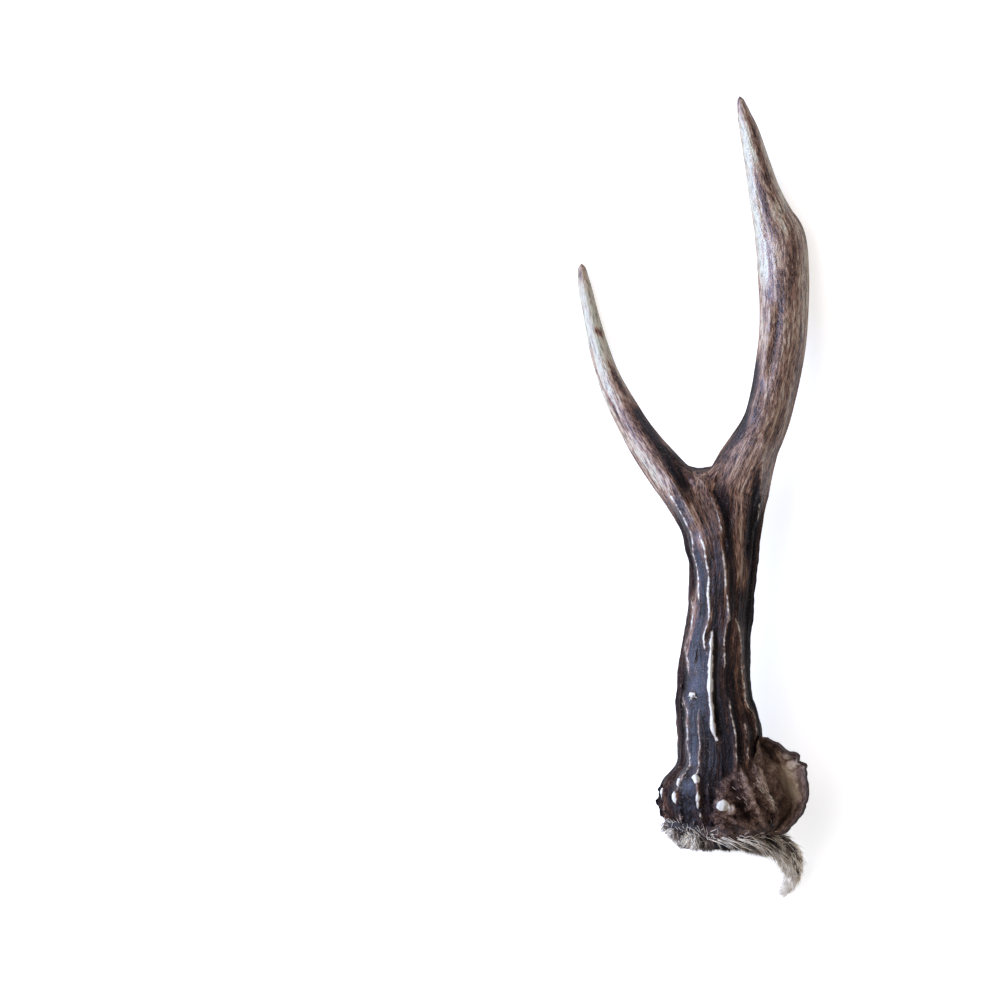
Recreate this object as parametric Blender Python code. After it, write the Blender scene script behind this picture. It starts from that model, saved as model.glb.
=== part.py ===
"""A forked roe antler with the dried hide left at its burr, lying on its side.

Every size below is in millimetres. +Z is up, +Y runs from the burr to the tips, and the antler rests on the
underside of its burr, of its long tine and of its short tine. The origin is on the surface it lies on, under
the middle of its outline.
"""

import math

import bmesh
import bpy
from mathutils import Vector

MM = 0.001

# Pedicle, burr and beam, cut across every few millimetres:
# (place along the beam, left edge, crown line, right edge, height of the middle, half depth)
BEAM = (
    (-112.5, -2.6, 8.4, 19.4, 20.0, 10.6),
    (-108.8, -2.8, 8.4, 19.6, 20.0, 10.8),
    (-107.2, -5.0, 8.4, 21.6, 20.0, 13.0),
    (-104.6, -9.8, 8.3, 26.2, 20.0, 17.5),
    (-100.8, -12.3, 8.0, 28.2, 20.0, 19.7),
    (-97.0, -12.4, 8.0, 28.4, 20.0, 19.8),
    (-92.8, -10.9, 8.2, 26.6, 20.2, 18.0),
    (-89.0, -8.0, 8.6, 24.2, 20.6, 15.6),
    (-85.6, -5.4, 8.6, 22.9, 20.9, 14.2),
    (-80.8, -5.1, 8.6, 21.9, 21.4, 13.4),
    (-75.7, -5.1, 8.2, 21.4, 21.8, 12.9),
    (-69.3, -5.4, 7.4, 20.1, 22.3, 12.4),
    (-62.9, -5.4, 6.3, 18.0, 22.7, 11.8),
    (-50.1, -4.2, 6.7, 17.6, 23.3, 11.2),
    (-37.3, -1.9, 8.2, 18.5, 23.8, 10.8),
    (-24.5, -1.6, 8.6, 19.8, 24.0, 10.6),
    (-18.1, -2.9, 8.0, 20.5, 24.0, 10.4),
    (-11.7, -4.8, 6.6, 21.4, 23.9, 10.1),
    (-5.3, -8.3, 4.4, 22.8, 23.7, 9.6),
    (-0.5, -11.4, 2.6, 23.9, 23.4, 9.0),
)
CROTCH = (2.1, 8.3)  # bottom of the fork, seen from above
CROTCH_HALF_WIDTH = 4.2
CROTCH_LIFT = 0.8  # the bottom of the fork curves up by this at its two sides
FORK_WAIST = 0.26  # share of its depth that the beam loses along the crown line at the fork
FORK_WAIST_WIDTH = 7.0
FORK_WAIST_RISE = 14.0  # the waist fades in over this length below the fork

# Tines: (across, along, height of the middle, half width, half depth), from the fork to the tip
LONG_TINE = (
    (13.4, 3.0, 23.1, 11.0, 9.0),
    (18.6, 13.9, 21.4, 8.3, 8.1),
    (21.9, 20.3, 20.1, 7.5, 7.7),
    (24.2, 26.7, 18.6, 7.3, 7.5),
    (27.0, 39.5, 15.3, 7.5, 7.3),
    (28.5, 49.1, 12.7, 7.7, 7.2),
    (29.0, 58.7, 10.3, 7.9, 7.1),
    (28.9, 68.3, 8.2, 8.2, 7.0),
    (28.4, 77.9, 7.0, 8.3, 7.0),
    (27.3, 83.6, 6.6, 8.0, 6.5),
    (25.3, 89.0, 6.5, 6.6, 5.9),
    (22.7, 97.1, 6.8, 5.2, 4.8),
    (20.3, 106.7, 7.2, 4.1, 3.8),
    (17.9, 116.3, 7.8, 3.1, 2.9),
    (16.4, 121.1, 8.1, 2.45, 2.3),
    (15.4, 124.6, 8.4, 1.6, 1.5),
    (15.0, 126.9, 8.6, 0.0, 0.0),
)
SHORT_TINE = (
    (-6.3, 3.4, 23.0, 6.8, 8.4),
    (-14.3, 13.9, 19.7, 5.6, 6.2),
    (-18.5, 20.3, 16.8, 4.9, 5.3),
    (-22.1, 26.7, 13.5, 4.5, 4.8),
    (-25.4, 33.1, 10.4, 4.1, 4.3),
    (-28.0, 39.5, 7.7, 3.5, 3.8),
    (-30.1, 45.9, 5.5, 3.2, 3.4),
    (-31.7, 52.3, 3.8, 2.7, 3.0),
    (-33.2, 58.7, 2.6, 2.4, 2.6),
    (-34.6, 65.1, 2.4, 2.2, 2.2),
    (-35.5, 69.9, 2.6, 1.6, 1.6),
    (-35.8, 73.4, 2.9, 0.0, 0.0),
)
FORK_BLEND = 15.0  # a tine takes its own oval shape over this length above the fork
SADDLE_REACH = 8.0  # the creases of the saddle are smoothed this far around its middle

# Where the three lengths of antler part, just above the fork, and the gap they keep
PART_POINT = (1.9, 9.6)
SHORT_TINE_WAY = (-0.56, 0.83, -0.02)
LONG_TINE_WAY = (0.42, 0.91, -0.02)
GAP = 0.3

HALF_RING = 16  # faces around each half of the beam
SADDLE = 8  # faces across the saddle of the fork, from its front to its underside
CROWN = HALF_RING // 16  # faces of the ring on each side of the crown line that run into the saddle
ROWS_PER_STATION = 2
FLUTES = 8  # shallow grooves along the beam, deepest on the burr's rim
FLUTE_DEPTH = 0.35
BURR_FLUTE_DEPTH = 0.9
BURR_MIDDLE = -98.5
BURR_LENGTH = 7.0

# Cup of dried hide, cut across: place along the beam, then (across, height) of its inner edge, its inner
# wall, its belly, its outer wall and its rim
FLAP = (
    (-79.2, (23.0, 30.0), (23.6, 29.4), (24.2, 29.1), (24.9, 29.3), (25.6, 29.8)),
    (-82.0, (22.8, 31.4), (24.4, 27.8), (26.2, 26.1), (28.0, 27.4), (29.2, 30.2)),
    (-85.6, (22.8, 33.0), (25.6, 27.6), (28.4, 23.9), (32.6, 25.6), (34.2, 30.8)),
    (-90.6, (23.4, 35.2), (27.0, 28.6), (29.6, 22.4), (33.5, 24.7), (34.9, 31.4)),
    (-95.6, (23.4, 36.8), (28.4, 29.8), (31.0, 22.2), (34.6, 24.8), (35.8, 31.4)),
    (-100.2, (23.4, 37.0), (28.6, 30.0), (31.0, 22.2), (34.2, 25.0), (35.0, 31.0)),
    (-104.4, (24.4, 35.2), (28.2, 29.6), (29.8, 24.2), (31.6, 26.2), (32.2, 30.6)),
    (-107.0, (25.8, 33.0), (27.4, 30.4), (28.4, 29.2), (29.4, 29.6), (30.0, 30.8)),
)
FLAP_THICKNESS = 1.5

# Collar of haired skin around the pedicle: (place along the beam, radius), once round its section
COLLAR = (
    (-110.0, 11.8),
    (-108.7, 13.8),
    (-106.9, 16.9),
    (-107.6, 17.3),
    (-110.6, 15.4),
    (-112.6, 13.7),
    (-114.0, 12.7),
    (-114.2, 11.8),
)
COLLAR_MIDDLE = (8.4, 20.0)
COLLAR_STEPS = 32

# The strip that trails from the collar: (across, along, height, half width, half depth)
STRIP = (
    (20.2, -110.8, 18.6, 2.8, 1.8),
    (24.4, -111.8, 17.0, 3.5, 2.4),
    (28.2, -113.6, 14.4, 4.0, 2.7),
    (30.4, -117.6, 10.4, 3.9, 2.6),
    (31.7, -121.6, 6.4, 2.7, 2.2),
    (31.0, -125.0, 3.4, 1.7, 1.6),
    (29.9, -126.6, 1.9, 0.8, 0.9),
)
STRIP_SIDES = 12


def clear_scene():
    for thing in list(bpy.data.objects):
        bpy.data.objects.remove(thing, do_unlink=True)


def smoothstep(share):
    share = min(max(share, 0.0), 1.0)
    return share * share * (3.0 - 2.0 * share)


def smooth_rows(stations, steps):
    """Rows along a smooth curve through the stations, `steps` rows to each."""
    rows = []
    last = len(stations) - 1
    for k in range(last):
        before, here, there, after = (stations[min(max(k + d, 0), last)] for d in (-1, 0, 1, 2))
        for step in range(steps):
            t = step / steps
            rows.append([
                b + 0.5 * t * (c - a + t * (2 * a - 5 * b + 4 * c - d + t * (3 * (b - c) + d - a)))
                for a, b, c, d in zip(before, here, there, after)
            ])
    rows.append(list(stations[last]))
    return rows


def make_material(name, colour, roughness):
    material = bpy.data.materials.new(name)
    material.use_nodes = True
    shader = material.node_tree.nodes["Principled BSDF"]
    shader.inputs["Base Color"].default_value = (*colour, 1.0)
    shader.inputs["Roughness"].default_value = roughness
    shader.inputs["Metallic"].default_value = 0.0
    return material


def make_object(name, bm, material):
    """Turn a bmesh in millimetres into an object in metres, shaded smooth but for its real edges."""
    bmesh.ops.scale(bm, vec=(MM, MM, MM), verts=bm.verts)
    bmesh.ops.recalc_face_normals(bm, faces=bm.faces)
    mesh = bpy.data.meshes.new(name)
    bm.to_mesh(mesh)
    bm.free()
    mesh.shade_smooth()
    mesh.set_sharp_from_angle(angle=math.radians(50))
    mesh.materials.append(material)
    thing = bpy.data.objects.new(name, mesh)
    bpy.context.collection.objects.link(thing)
    return thing


def roll_sheet(bm, columns, rows, place):
    """Add a sheet of columns x rows faces whose vertex (i, j) goes to place(i, j)."""
    sheet = bmesh.ops.create_grid(bm, x_segments=columns, y_segments=rows, size=0.5)
    for vert in sheet["verts"]:
        i = round((vert.co.x + 0.5) * columns)
        j = round((vert.co.y + 0.5) * rows)
        vert.co = place(i, j)


def close_holes(bm):
    bmesh.ops.holes_fill(bm, edges=[edge for edge in bm.edges if edge.is_boundary], sides=0)


# ---- the antler: one form, parted at the fork ----

def beam_point(row, i):
    """A point of the beam: i runs from the crown line down the left side and up the right one."""
    along, left, crown, right, height, depth = row
    turn = math.pi * i / HALF_RING
    reach = crown - left if i <= HALF_RING else right - crown
    across = crown - reach * math.sin(turn)
    burr = math.exp(-(((along - BURR_MIDDLE) / BURR_LENGTH) ** 2))
    groove = FLUTE_DEPTH + (BURR_FLUTE_DEPTH - FLUTE_DEPTH) * burr
    fade = smoothstep((BEAM[-1][0] - along) / FORK_WAIST_RISE)
    inward = 1.0 - fade * groove * (1.0 - math.cos(FLUTES * turn)) / (2.0 * depth)
    pinch = math.exp(-(((across - crown) / FORK_WAIST_WIDTH) ** 2)) * FORK_WAIST * (1.0 - fade)
    upward = depth * math.cos(turn) * (1.0 - pinch)
    return Vector((crown + (across - crown) * inward, along, height + upward * inward))


def saddle_point(ring, column, k):
    """A point of the saddle between the tines: k runs from the front of the fork to its underside."""
    front, back = ring[column], ring[HALF_RING - column]
    turn = math.pi * k / SADDLE
    side = -column / CROWN
    bottom = Vector((CROTCH[0] + side * CROTCH_HALF_WIDTH, CROTCH[1] + CROTCH_LIFT * side * side, 0.0))
    middle, half = (front + back) / 2.0, (front - back) / 2.0
    bottom.z = middle.z
    return middle + half * math.cos(turn) + (bottom - middle) * math.sin(turn) ** 0.8


def foot_turns(foot, row):
    """The angle of each point of a tine's foot around the middle of its first row, once round."""
    turns = []
    for point in foot:
        turn = math.atan2((point.z - row[2]) / row[4], (point.x - row[0]) / row[3])
        while turns and turn < turns[-1] - math.pi:
            turn += math.tau
        turns.append(turn)
    return turns


def tine_point(rows, foot, turns, i, j):
    """A point of a tine: foot is the ring of points where it grows out of the beam."""
    i %= len(foot)
    row = rows[j]
    middle = Vector(row[:3])
    before, after = (Vector(rows[min(max(j + d, 0), len(rows) - 1)][:3]) for d in (-1, 1))
    way = (after - before).normalized()
    side = way.cross(Vector((0.0, 0.0, 1.0))).normalized()
    upward = side.cross(way)
    start = Vector(rows[0][:3])
    own = 1.0 - (1.0 - min((middle - start).length / FORK_BLEND, 1.0)) ** 2
    turn = turns[i] + (turns[0] + math.tau * i / len(foot) - turns[i]) * own
    oval = middle + side * (row[3] * math.cos(turn)) + upward * (row[4] * math.sin(turn))
    return foot[i].lerp(oval, own)


def antler_form():
    """The whole antler as one closed skin."""
    bm = bmesh.new()
    beam_rows = smooth_rows(BEAM, ROWS_PER_STATION)
    ring = [beam_point(beam_rows[-1], i) for i in range(2 * HALF_RING)]
    roll_sheet(bm, 2 * HALF_RING, len(beam_rows) - 1, lambda i, j: beam_point(beam_rows[j], i))
    roll_sheet(bm, 2 * CROWN, SADDLE, lambda i, j: saddle_point(ring, i - CROWN, j))
    left_edge = [saddle_point(ring, CROWN, k) for k in range(SADDLE - 1, 0, -1)]
    right_edge = [saddle_point(ring, -CROWN, k) for k in range(1, SADDLE)]
    left_foot = ring[CROWN:HALF_RING - CROWN + 1] + left_edge
    right_foot = ring[HALF_RING + CROWN:2 * HALF_RING - CROWN + 1] + right_edge
    for stations, foot in ((SHORT_TINE, left_foot), (LONG_TINE, right_foot)):
        rows = smooth_rows(stations, ROWS_PER_STATION)
        turns = foot_turns(foot, stations[0])
        roll_sheet(bm, len(foot), len(rows) - 1, lambda i, j: tine_point(rows, foot, turns, i, j))
    bmesh.ops.remove_doubles(bm, verts=bm.verts, dist=0.001)
    close_holes(bm)
    crotch = Vector((CROTCH[0], CROTCH[1], ring[0].z / 2.0 + ring[HALF_RING].z / 2.0))
    near = [vert for vert in bm.verts if (vert.co - crotch).length < SADDLE_REACH]
    for _ in range(2):
        bmesh.ops.smooth_vert(bm, verts=near, factor=0.4, use_axis_x=True, use_axis_y=True, use_axis_z=True)
    return bm


def cut_away(bm, point, way):
    """Cut the solid with a plane and drop what lies on the side that `way` points to."""
    bmesh.ops.bisect_plane(
        bm, geom=bm.verts[:] + bm.edges[:] + bm.faces[:], dist=0.0001,
        plane_co=point, plane_no=way, clear_outer=True,
    )


def make_antler(bone):
    """Beam, long tine and short tine, parted just above the fork across each tine."""
    form = antler_form()
    point = Vector((*PART_POINT, 0.0))
    short_way = Vector(SHORT_TINE_WAY).normalized()
    long_way = Vector(LONG_TINE_WAY).normalized()
    beam = form.copy()
    cut_away(beam, point, short_way)
    cut_away(beam, point, long_way)
    close_holes(beam)
    make_object("beam", beam, bone)
    for name, way, side in (("short_tine", short_way, -1.0), ("long_tine", long_way, 1.0)):
        tine = form.copy()
        cut_away(tine, point + way * GAP, -way)
        other = [vert for vert in tine.verts if (vert.co.x - point.x) * side < 0.0]
        bmesh.ops.delete(tine, geom=other, context="VERTS")
        close_holes(tine)
        make_object(name, tine, bone)
    form.free()


# ---- what is left of the skin ----

def make_flap(hide):
    """The cup of dried hide: a curled sheet with a real thickness."""
    flat = [[y] + [value for point in points for value in point] for y, *points in FLAP]
    rows = smooth_rows(flat, ROWS_PER_STATION)
    lines = []
    for y, *values in rows:
        section = [(x, y, z) for x, z in zip(values[::2], values[1::2])]
        lines.append(smooth_rows(section, ROWS_PER_STATION))
    bm = bmesh.new()
    roll_sheet(bm, len(lines[0]) - 1, len(lines) - 1, lambda i, j: lines[j][i])
    flap = make_object("hide_flap", bm, hide)
    wall = flap.modifiers.new("thickness", "SOLIDIFY")
    wall.thickness = FLAP_THICKNESS * MM
    wall.offset = 0.0
    wall.use_even_offset = False


def make_pelt(hair):
    """The haired collar around the pedicle, turned round its axis, and the strip that trails from it."""
    bm = bmesh.new()
    middle_x, middle_z = COLLAR_MIDDLE
    corners = [bm.verts.new((middle_x + radius, y, middle_z)) for y, radius in COLLAR]
    section = [bm.edges.new((corners[k - 1], corners[k])) for k in range(len(corners))]
    bmesh.ops.spin(
        bm, geom=corners + section, cent=(middle_x, 0.0, middle_z), axis=(0.0, 1.0, 0.0),
        dvec=(0.0, 0.0, 0.0), angle=math.tau, steps=COLLAR_STEPS, use_merge=True, use_duplicate=False,
    )
    pelt = make_object("pelt", bm, hair)

    rows = smooth_rows(STRIP, ROWS_PER_STATION)

    def strip_point(i, j):
        x, y, z, width, depth = rows[j]
        before, after = (Vector(rows[min(max(j + d, 0), len(rows) - 1)][:3]) for d in (-1, 1))
        way = (after - before).normalized()
        side = way.cross(Vector((0.0, 0.0, 1.0))).normalized()
        turn = math.tau * i / STRIP_SIDES
        return Vector((x, y, z)) + side * (width * math.cos(turn)) + side.cross(way) * (depth * math.sin(turn))

    bm = bmesh.new()
    roll_sheet(bm, STRIP_SIDES, len(rows) - 1, strip_point)
    bmesh.ops.remove_doubles(bm, verts=bm.verts, dist=0.01)
    close_holes(bm)
    strip = make_object("strip", bm, hair)
    strip.hide_render = True
    strip.display_type = "WIRE"
    join = pelt.modifiers.new("strip", "BOOLEAN")
    join.operation = "UNION"
    join.solver = "EXACT"
    join.object = strip


def main():
    clear_scene()
    bone = make_material("antler_bone", (0.16, 0.10, 0.06), 0.38)
    hide = make_material("dried_hide", (0.11, 0.07, 0.05), 0.6)
    hair = make_material("deer_hair", (0.20, 0.17, 0.15), 0.9)
    make_antler(bone)
    make_flap(hide)
    make_pelt(hair)


main()
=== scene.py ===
import math

import bmesh
import bpy
import numpy as np
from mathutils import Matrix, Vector, noise


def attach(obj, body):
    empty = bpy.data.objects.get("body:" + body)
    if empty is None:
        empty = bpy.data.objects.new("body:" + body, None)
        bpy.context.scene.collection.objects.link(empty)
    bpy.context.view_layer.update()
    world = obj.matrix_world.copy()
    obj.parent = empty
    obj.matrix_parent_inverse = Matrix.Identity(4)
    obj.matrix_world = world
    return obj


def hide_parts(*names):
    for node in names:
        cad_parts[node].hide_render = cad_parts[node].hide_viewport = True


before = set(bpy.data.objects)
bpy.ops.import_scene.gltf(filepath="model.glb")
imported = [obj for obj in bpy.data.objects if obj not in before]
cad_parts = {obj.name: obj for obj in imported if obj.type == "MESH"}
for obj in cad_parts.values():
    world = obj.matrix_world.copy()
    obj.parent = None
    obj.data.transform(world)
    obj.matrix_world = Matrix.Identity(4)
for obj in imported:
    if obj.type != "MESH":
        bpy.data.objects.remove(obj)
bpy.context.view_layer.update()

# A forked roe antler lying on a pale floor, with the dried hide and fur left at its burr. Shapes are in
# millimetres, with +Y from the burr to the tips and +Z up, and each piece is turned to metres as it is
# finished.
MM = 0.001
FAR = 1000.0  # farther away than any point of the antler
WELD = 0.001  # points closer together than this become one
FLOOR_GAP = 0.05  # the antler stays at least this far above the floor

# ---- the antler's form ----

# Pedicle, burr and beam, cut across every few millimetres:
# (place along the beam, left edge, crown line, right edge, height of the middle, half depth)
BEAM = (
    (-112.5, -2.6, 8.4, 19.4, 20.0, 10.6),
    (-110.6, -2.8, 8.4, 19.6, 20.0, 10.8),
    (-109.2, -5.2, 8.4, 21.8, 20.0, 15.6),
    (-106.8, -8.4, 8.3, 25.2, 20.0, 18.1),
    (-104.2, -10.2, 8.2, 26.8, 20.0, 19.0),
    (-100.8, -12.3, 8.0, 28.2, 20.0, 19.7),
    (-97.0, -12.4, 8.0, 28.4, 20.0, 19.8),
    (-92.8, -10.9, 8.2, 26.6, 20.2, 18.0),
    (-89.0, -8.0, 8.6, 24.2, 20.6, 15.6),
    (-85.6, -5.4, 8.6, 22.9, 20.9, 14.2),
    (-80.8, -5.1, 8.6, 21.9, 21.4, 13.4),
    (-75.7, -5.1, 8.2, 21.4, 21.8, 12.9),
    (-69.3, -5.4, 7.4, 20.1, 22.3, 12.4),
    (-62.9, -5.4, 6.3, 18.0, 22.7, 11.8),
    (-50.1, -4.2, 6.7, 17.6, 23.3, 11.2),
    (-37.3, -1.9, 8.2, 18.5, 23.8, 10.8),
    (-24.5, -1.6, 8.6, 19.8, 24.0, 10.6),
    (-18.1, -2.9, 8.0, 20.5, 24.0, 10.4),
    (-11.7, -4.8, 6.6, 21.4, 23.9, 10.1),
    (-5.3, -8.3, 4.4, 22.8, 23.7, 9.6),
    (-0.5, -11.4, 2.6, 23.9, 23.4, 9.0),
)
CROTCH = (2.1, 8.3)  # bottom of the fork, seen from above
CROTCH_HALF_WIDTH = 4.2
CROTCH_LIFT = 0.8  # the bottom of the fork curves up by this at its two sides
FORK_WAIST = 0.26  # share of its depth that the beam loses along the crown line at the fork
FORK_WAIST_WIDTH = 7.0
FORK_WAIST_RISE = 14.0  # the waist fades in over this length below the fork

# Tines: (across, along, height of the middle, half width, half depth), from the fork to the tip
LONG_TINE = (
    (13.4, 3.0, 23.1, 11.0, 9.0),
    (18.6, 13.9, 21.4, 8.3, 8.1),
    (21.9, 20.3, 20.1, 7.5, 7.7),
    (24.2, 26.7, 18.6, 7.3, 7.5),
    (27.0, 39.5, 15.3, 7.5, 7.3),
    (28.5, 49.1, 12.7, 7.7, 7.2),
    (29.0, 58.7, 10.3, 7.9, 7.1),
    (28.9, 68.3, 8.2, 8.2, 7.0),
    (28.4, 77.9, 7.0, 8.3, 7.0),
    (27.3, 83.6, 6.6, 8.0, 6.5),
    (25.3, 89.0, 6.5, 6.6, 5.9),
    (22.7, 97.1, 6.8, 5.2, 4.8),
    (20.3, 106.7, 7.2, 4.1, 3.8),
    (17.9, 116.3, 7.8, 3.1, 2.9),
    (16.4, 121.1, 8.1, 2.3, 2.2),
    (15.5, 124.6, 8.4, 1.55, 1.5),
    (15.0, 126.6, 8.6, 0.95, 0.9),
    (14.8, 127.6, 8.7, 0.0, 0.0),
)
SHORT_TINE = (
    (-6.3, 3.4, 23.0, 6.8, 8.4),
    (-14.3, 13.9, 19.7, 5.6, 6.2),
    (-18.5, 20.3, 16.8, 4.9, 5.3),
    (-22.1, 26.7, 13.5, 4.5, 4.8),
    (-25.4, 33.1, 10.4, 4.1, 4.3),
    (-28.0, 39.5, 7.7, 3.5, 3.8),
    (-30.1, 45.9, 5.5, 3.2, 3.4),
    (-31.7, 52.3, 3.8, 2.7, 3.0),
    (-33.2, 58.7, 2.6, 2.4, 2.6),
    (-34.6, 65.1, 2.4, 2.2, 2.2),
    (-35.5, 69.9, 2.6, 1.7, 1.7),
    (-35.8, 72.8, 2.8, 1.1, 1.1),
    (-35.9, 74.0, 2.9, 0.0, 0.0),
)
FORK_BLEND = 15.0  # a tine takes its own oval shape over this length above the fork
SADDLE_REACH = 8.0  # the creases of the saddle are smoothed this far around its middle
SADDLE_ROUNDS = 30  # of that smoothing

HALF_RING = 112  # faces around each half of the beam
CROWN = 9  # faces of the ring on each side of the crown line that run into the saddle
UPPER_SHARE = 0.4  # the faces are closer together by this share along the top and wider apart underneath
SADDLE = 44  # faces across the saddle of the fork, from its front to its underside
SADDLE_SHAPE = 0.8  # across the saddle, 1 is half an oval and less is squarer
BEAM_ROW = 0.55  # length of a face along the beam
TINE_ROW = 0.75
SAWN_RINGS = (0.0, 0.25, 0.5, 0.7, 0.85, 0.95, 0.99)  # shares of the pedicle's radius, across the saw cut

# ---- its surface, as the photo shows it from above: places are (across, along) ----

BEAM_GIRTH = ((-97.0, 20.0), (-85.0, 14.0), (-40.0, 11.0), (0.0, 16.0))  # (place along it, radius)
BEAM_END = 4.0  # what marks the beam alone is gone past this place
BEAM_FADE = 16.0  # and fades out over this length before it
SMOOTH_TIP = 126.0  # the long tine is smooth past this place
SMOOTH_TIP_FADE = 12.0

# How pale the antler is by nature, from black bark at 0 to ivory at 1: on the beam as (place along it,
# tone), and on the tines as (distance from the fork, tone)
BEAM_TONES = (
    (-112, 0.30), (-106, 0.13), (-80, 0.12), (-60, 0.14), (-40, 0.17), (-20, 0.20), (-8, 0.28), (4, 0.36),
)
SHORT_TONES = (
    (0, 0.40), (10, 0.46), (22, 0.58), (34, 0.72), (45, 0.84), (60, 0.92), (74, 0.88), (78, 0.70),
    (82, 0.60),
)
LONG_TONES = (
    (0, 0.38), (15, 0.44), (35, 0.50), (60, 0.55), (78, 0.60), (88, 0.67), (98, 0.78), (112, 0.86),
    (122, 0.80), (128, 0.62),
)

CREST_REACH = 4.0  # a ridge's flanks end at so many times their reach

# Ridges: (rise, reach of their flanks, half width of the rubbed line, how white it is, line)
CRESTS = (
    (1.1, 1.6, 0.34, 0.80, (
        (-0.6, -31.5), (-1.1, -33.8), (-0.6, -36.3), (-0.7, -39.4), (-1.1, -42.4), (-1.8, -45.6),
        (-2.8, -49.1), (-2.4, -52.3), (-2.3, -55.8), (-2.3, -59.7),
    )),
    (1.2, 1.8, 0.34, 0.75, (
        (-4.2, -61.9), (-4.2, -64.2), (-3.4, -67.0), (-2.3, -70.4), (-2.6, -73.4), (-2.1, -76.8),
        (-2.4, -79.8), (-1.5, -83.9), (-1.8, -87.2), (-3.8, -90.4), (-5.0, -93.0), (-6.2, -96.6),
        (-6.6, -100.0),
    )),
    (0.9, 1.5, 0.32, 0.88, (
        (-10.6, 4.4), (-8.3, 0.5), (-3.8, -6.9), (-1.0, -13.6), (-0.4, -19.4), (0.5, -22.6),
        (1.0, -27.0), (1.1, -30.2), (1.3, -33.4), (1.8, -36.6),
    )),
    (1.3, 2.2, 0.36, 0.40, ((-9.9, 7.5), (-5.0, 0.5), (-0.6, -8.0), (1.0, -12.6))),
    (1.5, 1.9, 0.42, 0.96, (
        (0.6, -11.6), (1.4, -14.2), (2.8, -16.8), (3.5, -21.0), (4.3, -25.6), (4.3, -28.6),
        (4.2, -32.6), (4.6, -36.3), (4.6, -39.4), (3.8, -42.4), (2.9, -45.3), (3.2, -47.5),
        (3.1, -49.4), (3.8, -51.4),
    )),
    (2.0, 2.0, 0.84, 1.00, (
        (5.2, -43.7), (5.3, -47.2), (5.1, -51.0), (4.9, -54.9), (4.8, -59.7), (4.8, -63.5),
        (5.1, -67.4), (5.5, -70.9), (5.5, -73.4), (6.0, -76.6), (6.9, -78.6),
    )),
    (0.7, 1.2, 0.30, 0.70, ((0.3, -54.2), (0.3, -58.4))),
    (1.2, 1.6, 0.32, 0.80, (
        (1.1, -67.0), (1.1, -71.8), (1.1, -75.7), (1.7, -80.5), (1.2, -83.9), (1.4, -87.2),
        (0.4, -90.0), (1.0, -93.6), (0.9, -97.6), (1.0, -101.0),
    )),
    (1.3, 2.1, 0.44, 0.62, (
        (8.1, -13.6), (9.1, -20.0), (9.5, -22.9), (9.8, -27.0), (10.0, -30.9), (10.6, -34.4),
        (10.7, -38.9), (10.0, -42.4), (9.5, -45.9), (9.4, -49.4), (9.5, -52.6), (9.4, -57.8),
    )),
    (1.3, 2.1, 0.52, 0.45, (
        (10.2, -62.2), (11.2, -66.4), (11.6, -70.1), (12.9, -76.8), (13.3, -84.3), (13.6, -90.0),
    )),
    (1.3, 1.9, 0.38, 0.66, (
        (12.1, -37.5), (13.3, -40.3), (14.1, -43.0), (14.4, -46.1), (14.7, -51.0), (14.9, -54.7),
        (15.3, -57.8), (15.8, -61.9), (16.4, -65.8), (17.6, -68.6), (19.0, -71.0), (19.2, -74.4),
        (19.8, -77.1), (19.3, -80.5),
    )),
    (1.3, 1.9, 0.52, 0.42, ((16.1, -71.2), (16.4, -77.9), (17.0, -81.8), (17.3, -85.6), (19.2, -89.1))),
    (1.0, 1.8, 0.30, 0.15, ((-4.6, -91.5), (-6.2, -96.5), (-6.4, -101.0), (-5.0, -109.5))),
    (1.0, 1.7, 0.30, 0.15, ((0.8, -88.5), (0.9, -93.5), (1.0, -98.5), (1.8, -103.5), (2.8, -110.0))),
    (0.9, 1.6, 0.30, 0.10, ((-7.6, -88.0), (-10.0, -94.0), (-10.4, -99.5), (-8.2, -108.0))),
    (0.7, 1.4, 0.30, 0.00, ((-2.0, -88.5), (-2.8, -95.0), (-1.8, -109.0))),
    (0.7, 1.4, 0.30, 0.00, ((4.0, -88.0), (4.4, -95.0), (5.2, -110.0))),
    (1.4, 2.6, 0.47, 0.42, (
        (-1.3, 6.6), (2.2, 3.8), (4.6, 0.0), (6.8, -5.0), (8.4, -11.0), (9.0, -16.5),
    )),
    (1.1, 2.0, 0.44, 0.55, ((21.8, 20.3), (21.8, 10.7), (21.1, 1.1), (20.5, -11.7))),
    (1.1, 2.2, 0.00, 0.00, ((25.0, 62.6), (23.7, 49.1), (21.1, 34.7))),
    (0.9, 2.2, 0.00, 0.00, ((21.4, 33.1), (19.5, 27.4), (17.3, 21.9))),
)

# Gutters between the ridges: (depth, half width, how dark, line)
GUTTERS = (
    (0.8, 1.1, 0.7, ((7.2, -42.0), (7.3, -50.0), (6.9, -60.0), (7.2, -68.0), (8.2, -77.0))),
    (0.7, 1.2, 0.55, ((12.2, -63.0), (13.6, -70.0), (14.4, -78.0), (14.8, -86.0))),
    (0.5, 1.0, 0.3, ((12.5, -3.7), (11.2, -8.5), (9.8, -16.5), (11.6, -24.0), (12.2, -33.0))),
    (0.6, 0.9, 0.8, ((20.2, 4.3), (18.6, -5.3), (17.6, -14.9), (17.3, -21.3))),
    (0.4, 0.5, 0.5, ((20.2, 97.1), (21.8, 89.1), (23.7, 79.5))),
    (0.5, 1.2, 0.3, ((27.4, 62.6), (26.0, 49.1), (23.4, 34.7))),
    (0.6, 1.0, 0.8, ((2.6, -27.0), (2.8, -36.0), (0.8, -46.0), (1.8, -56.0))),
    (0.5, 1.0, 0.7, ((-0.6, -66.0), (-0.4, -76.0), (0.0, -86.0))),
)

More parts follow.
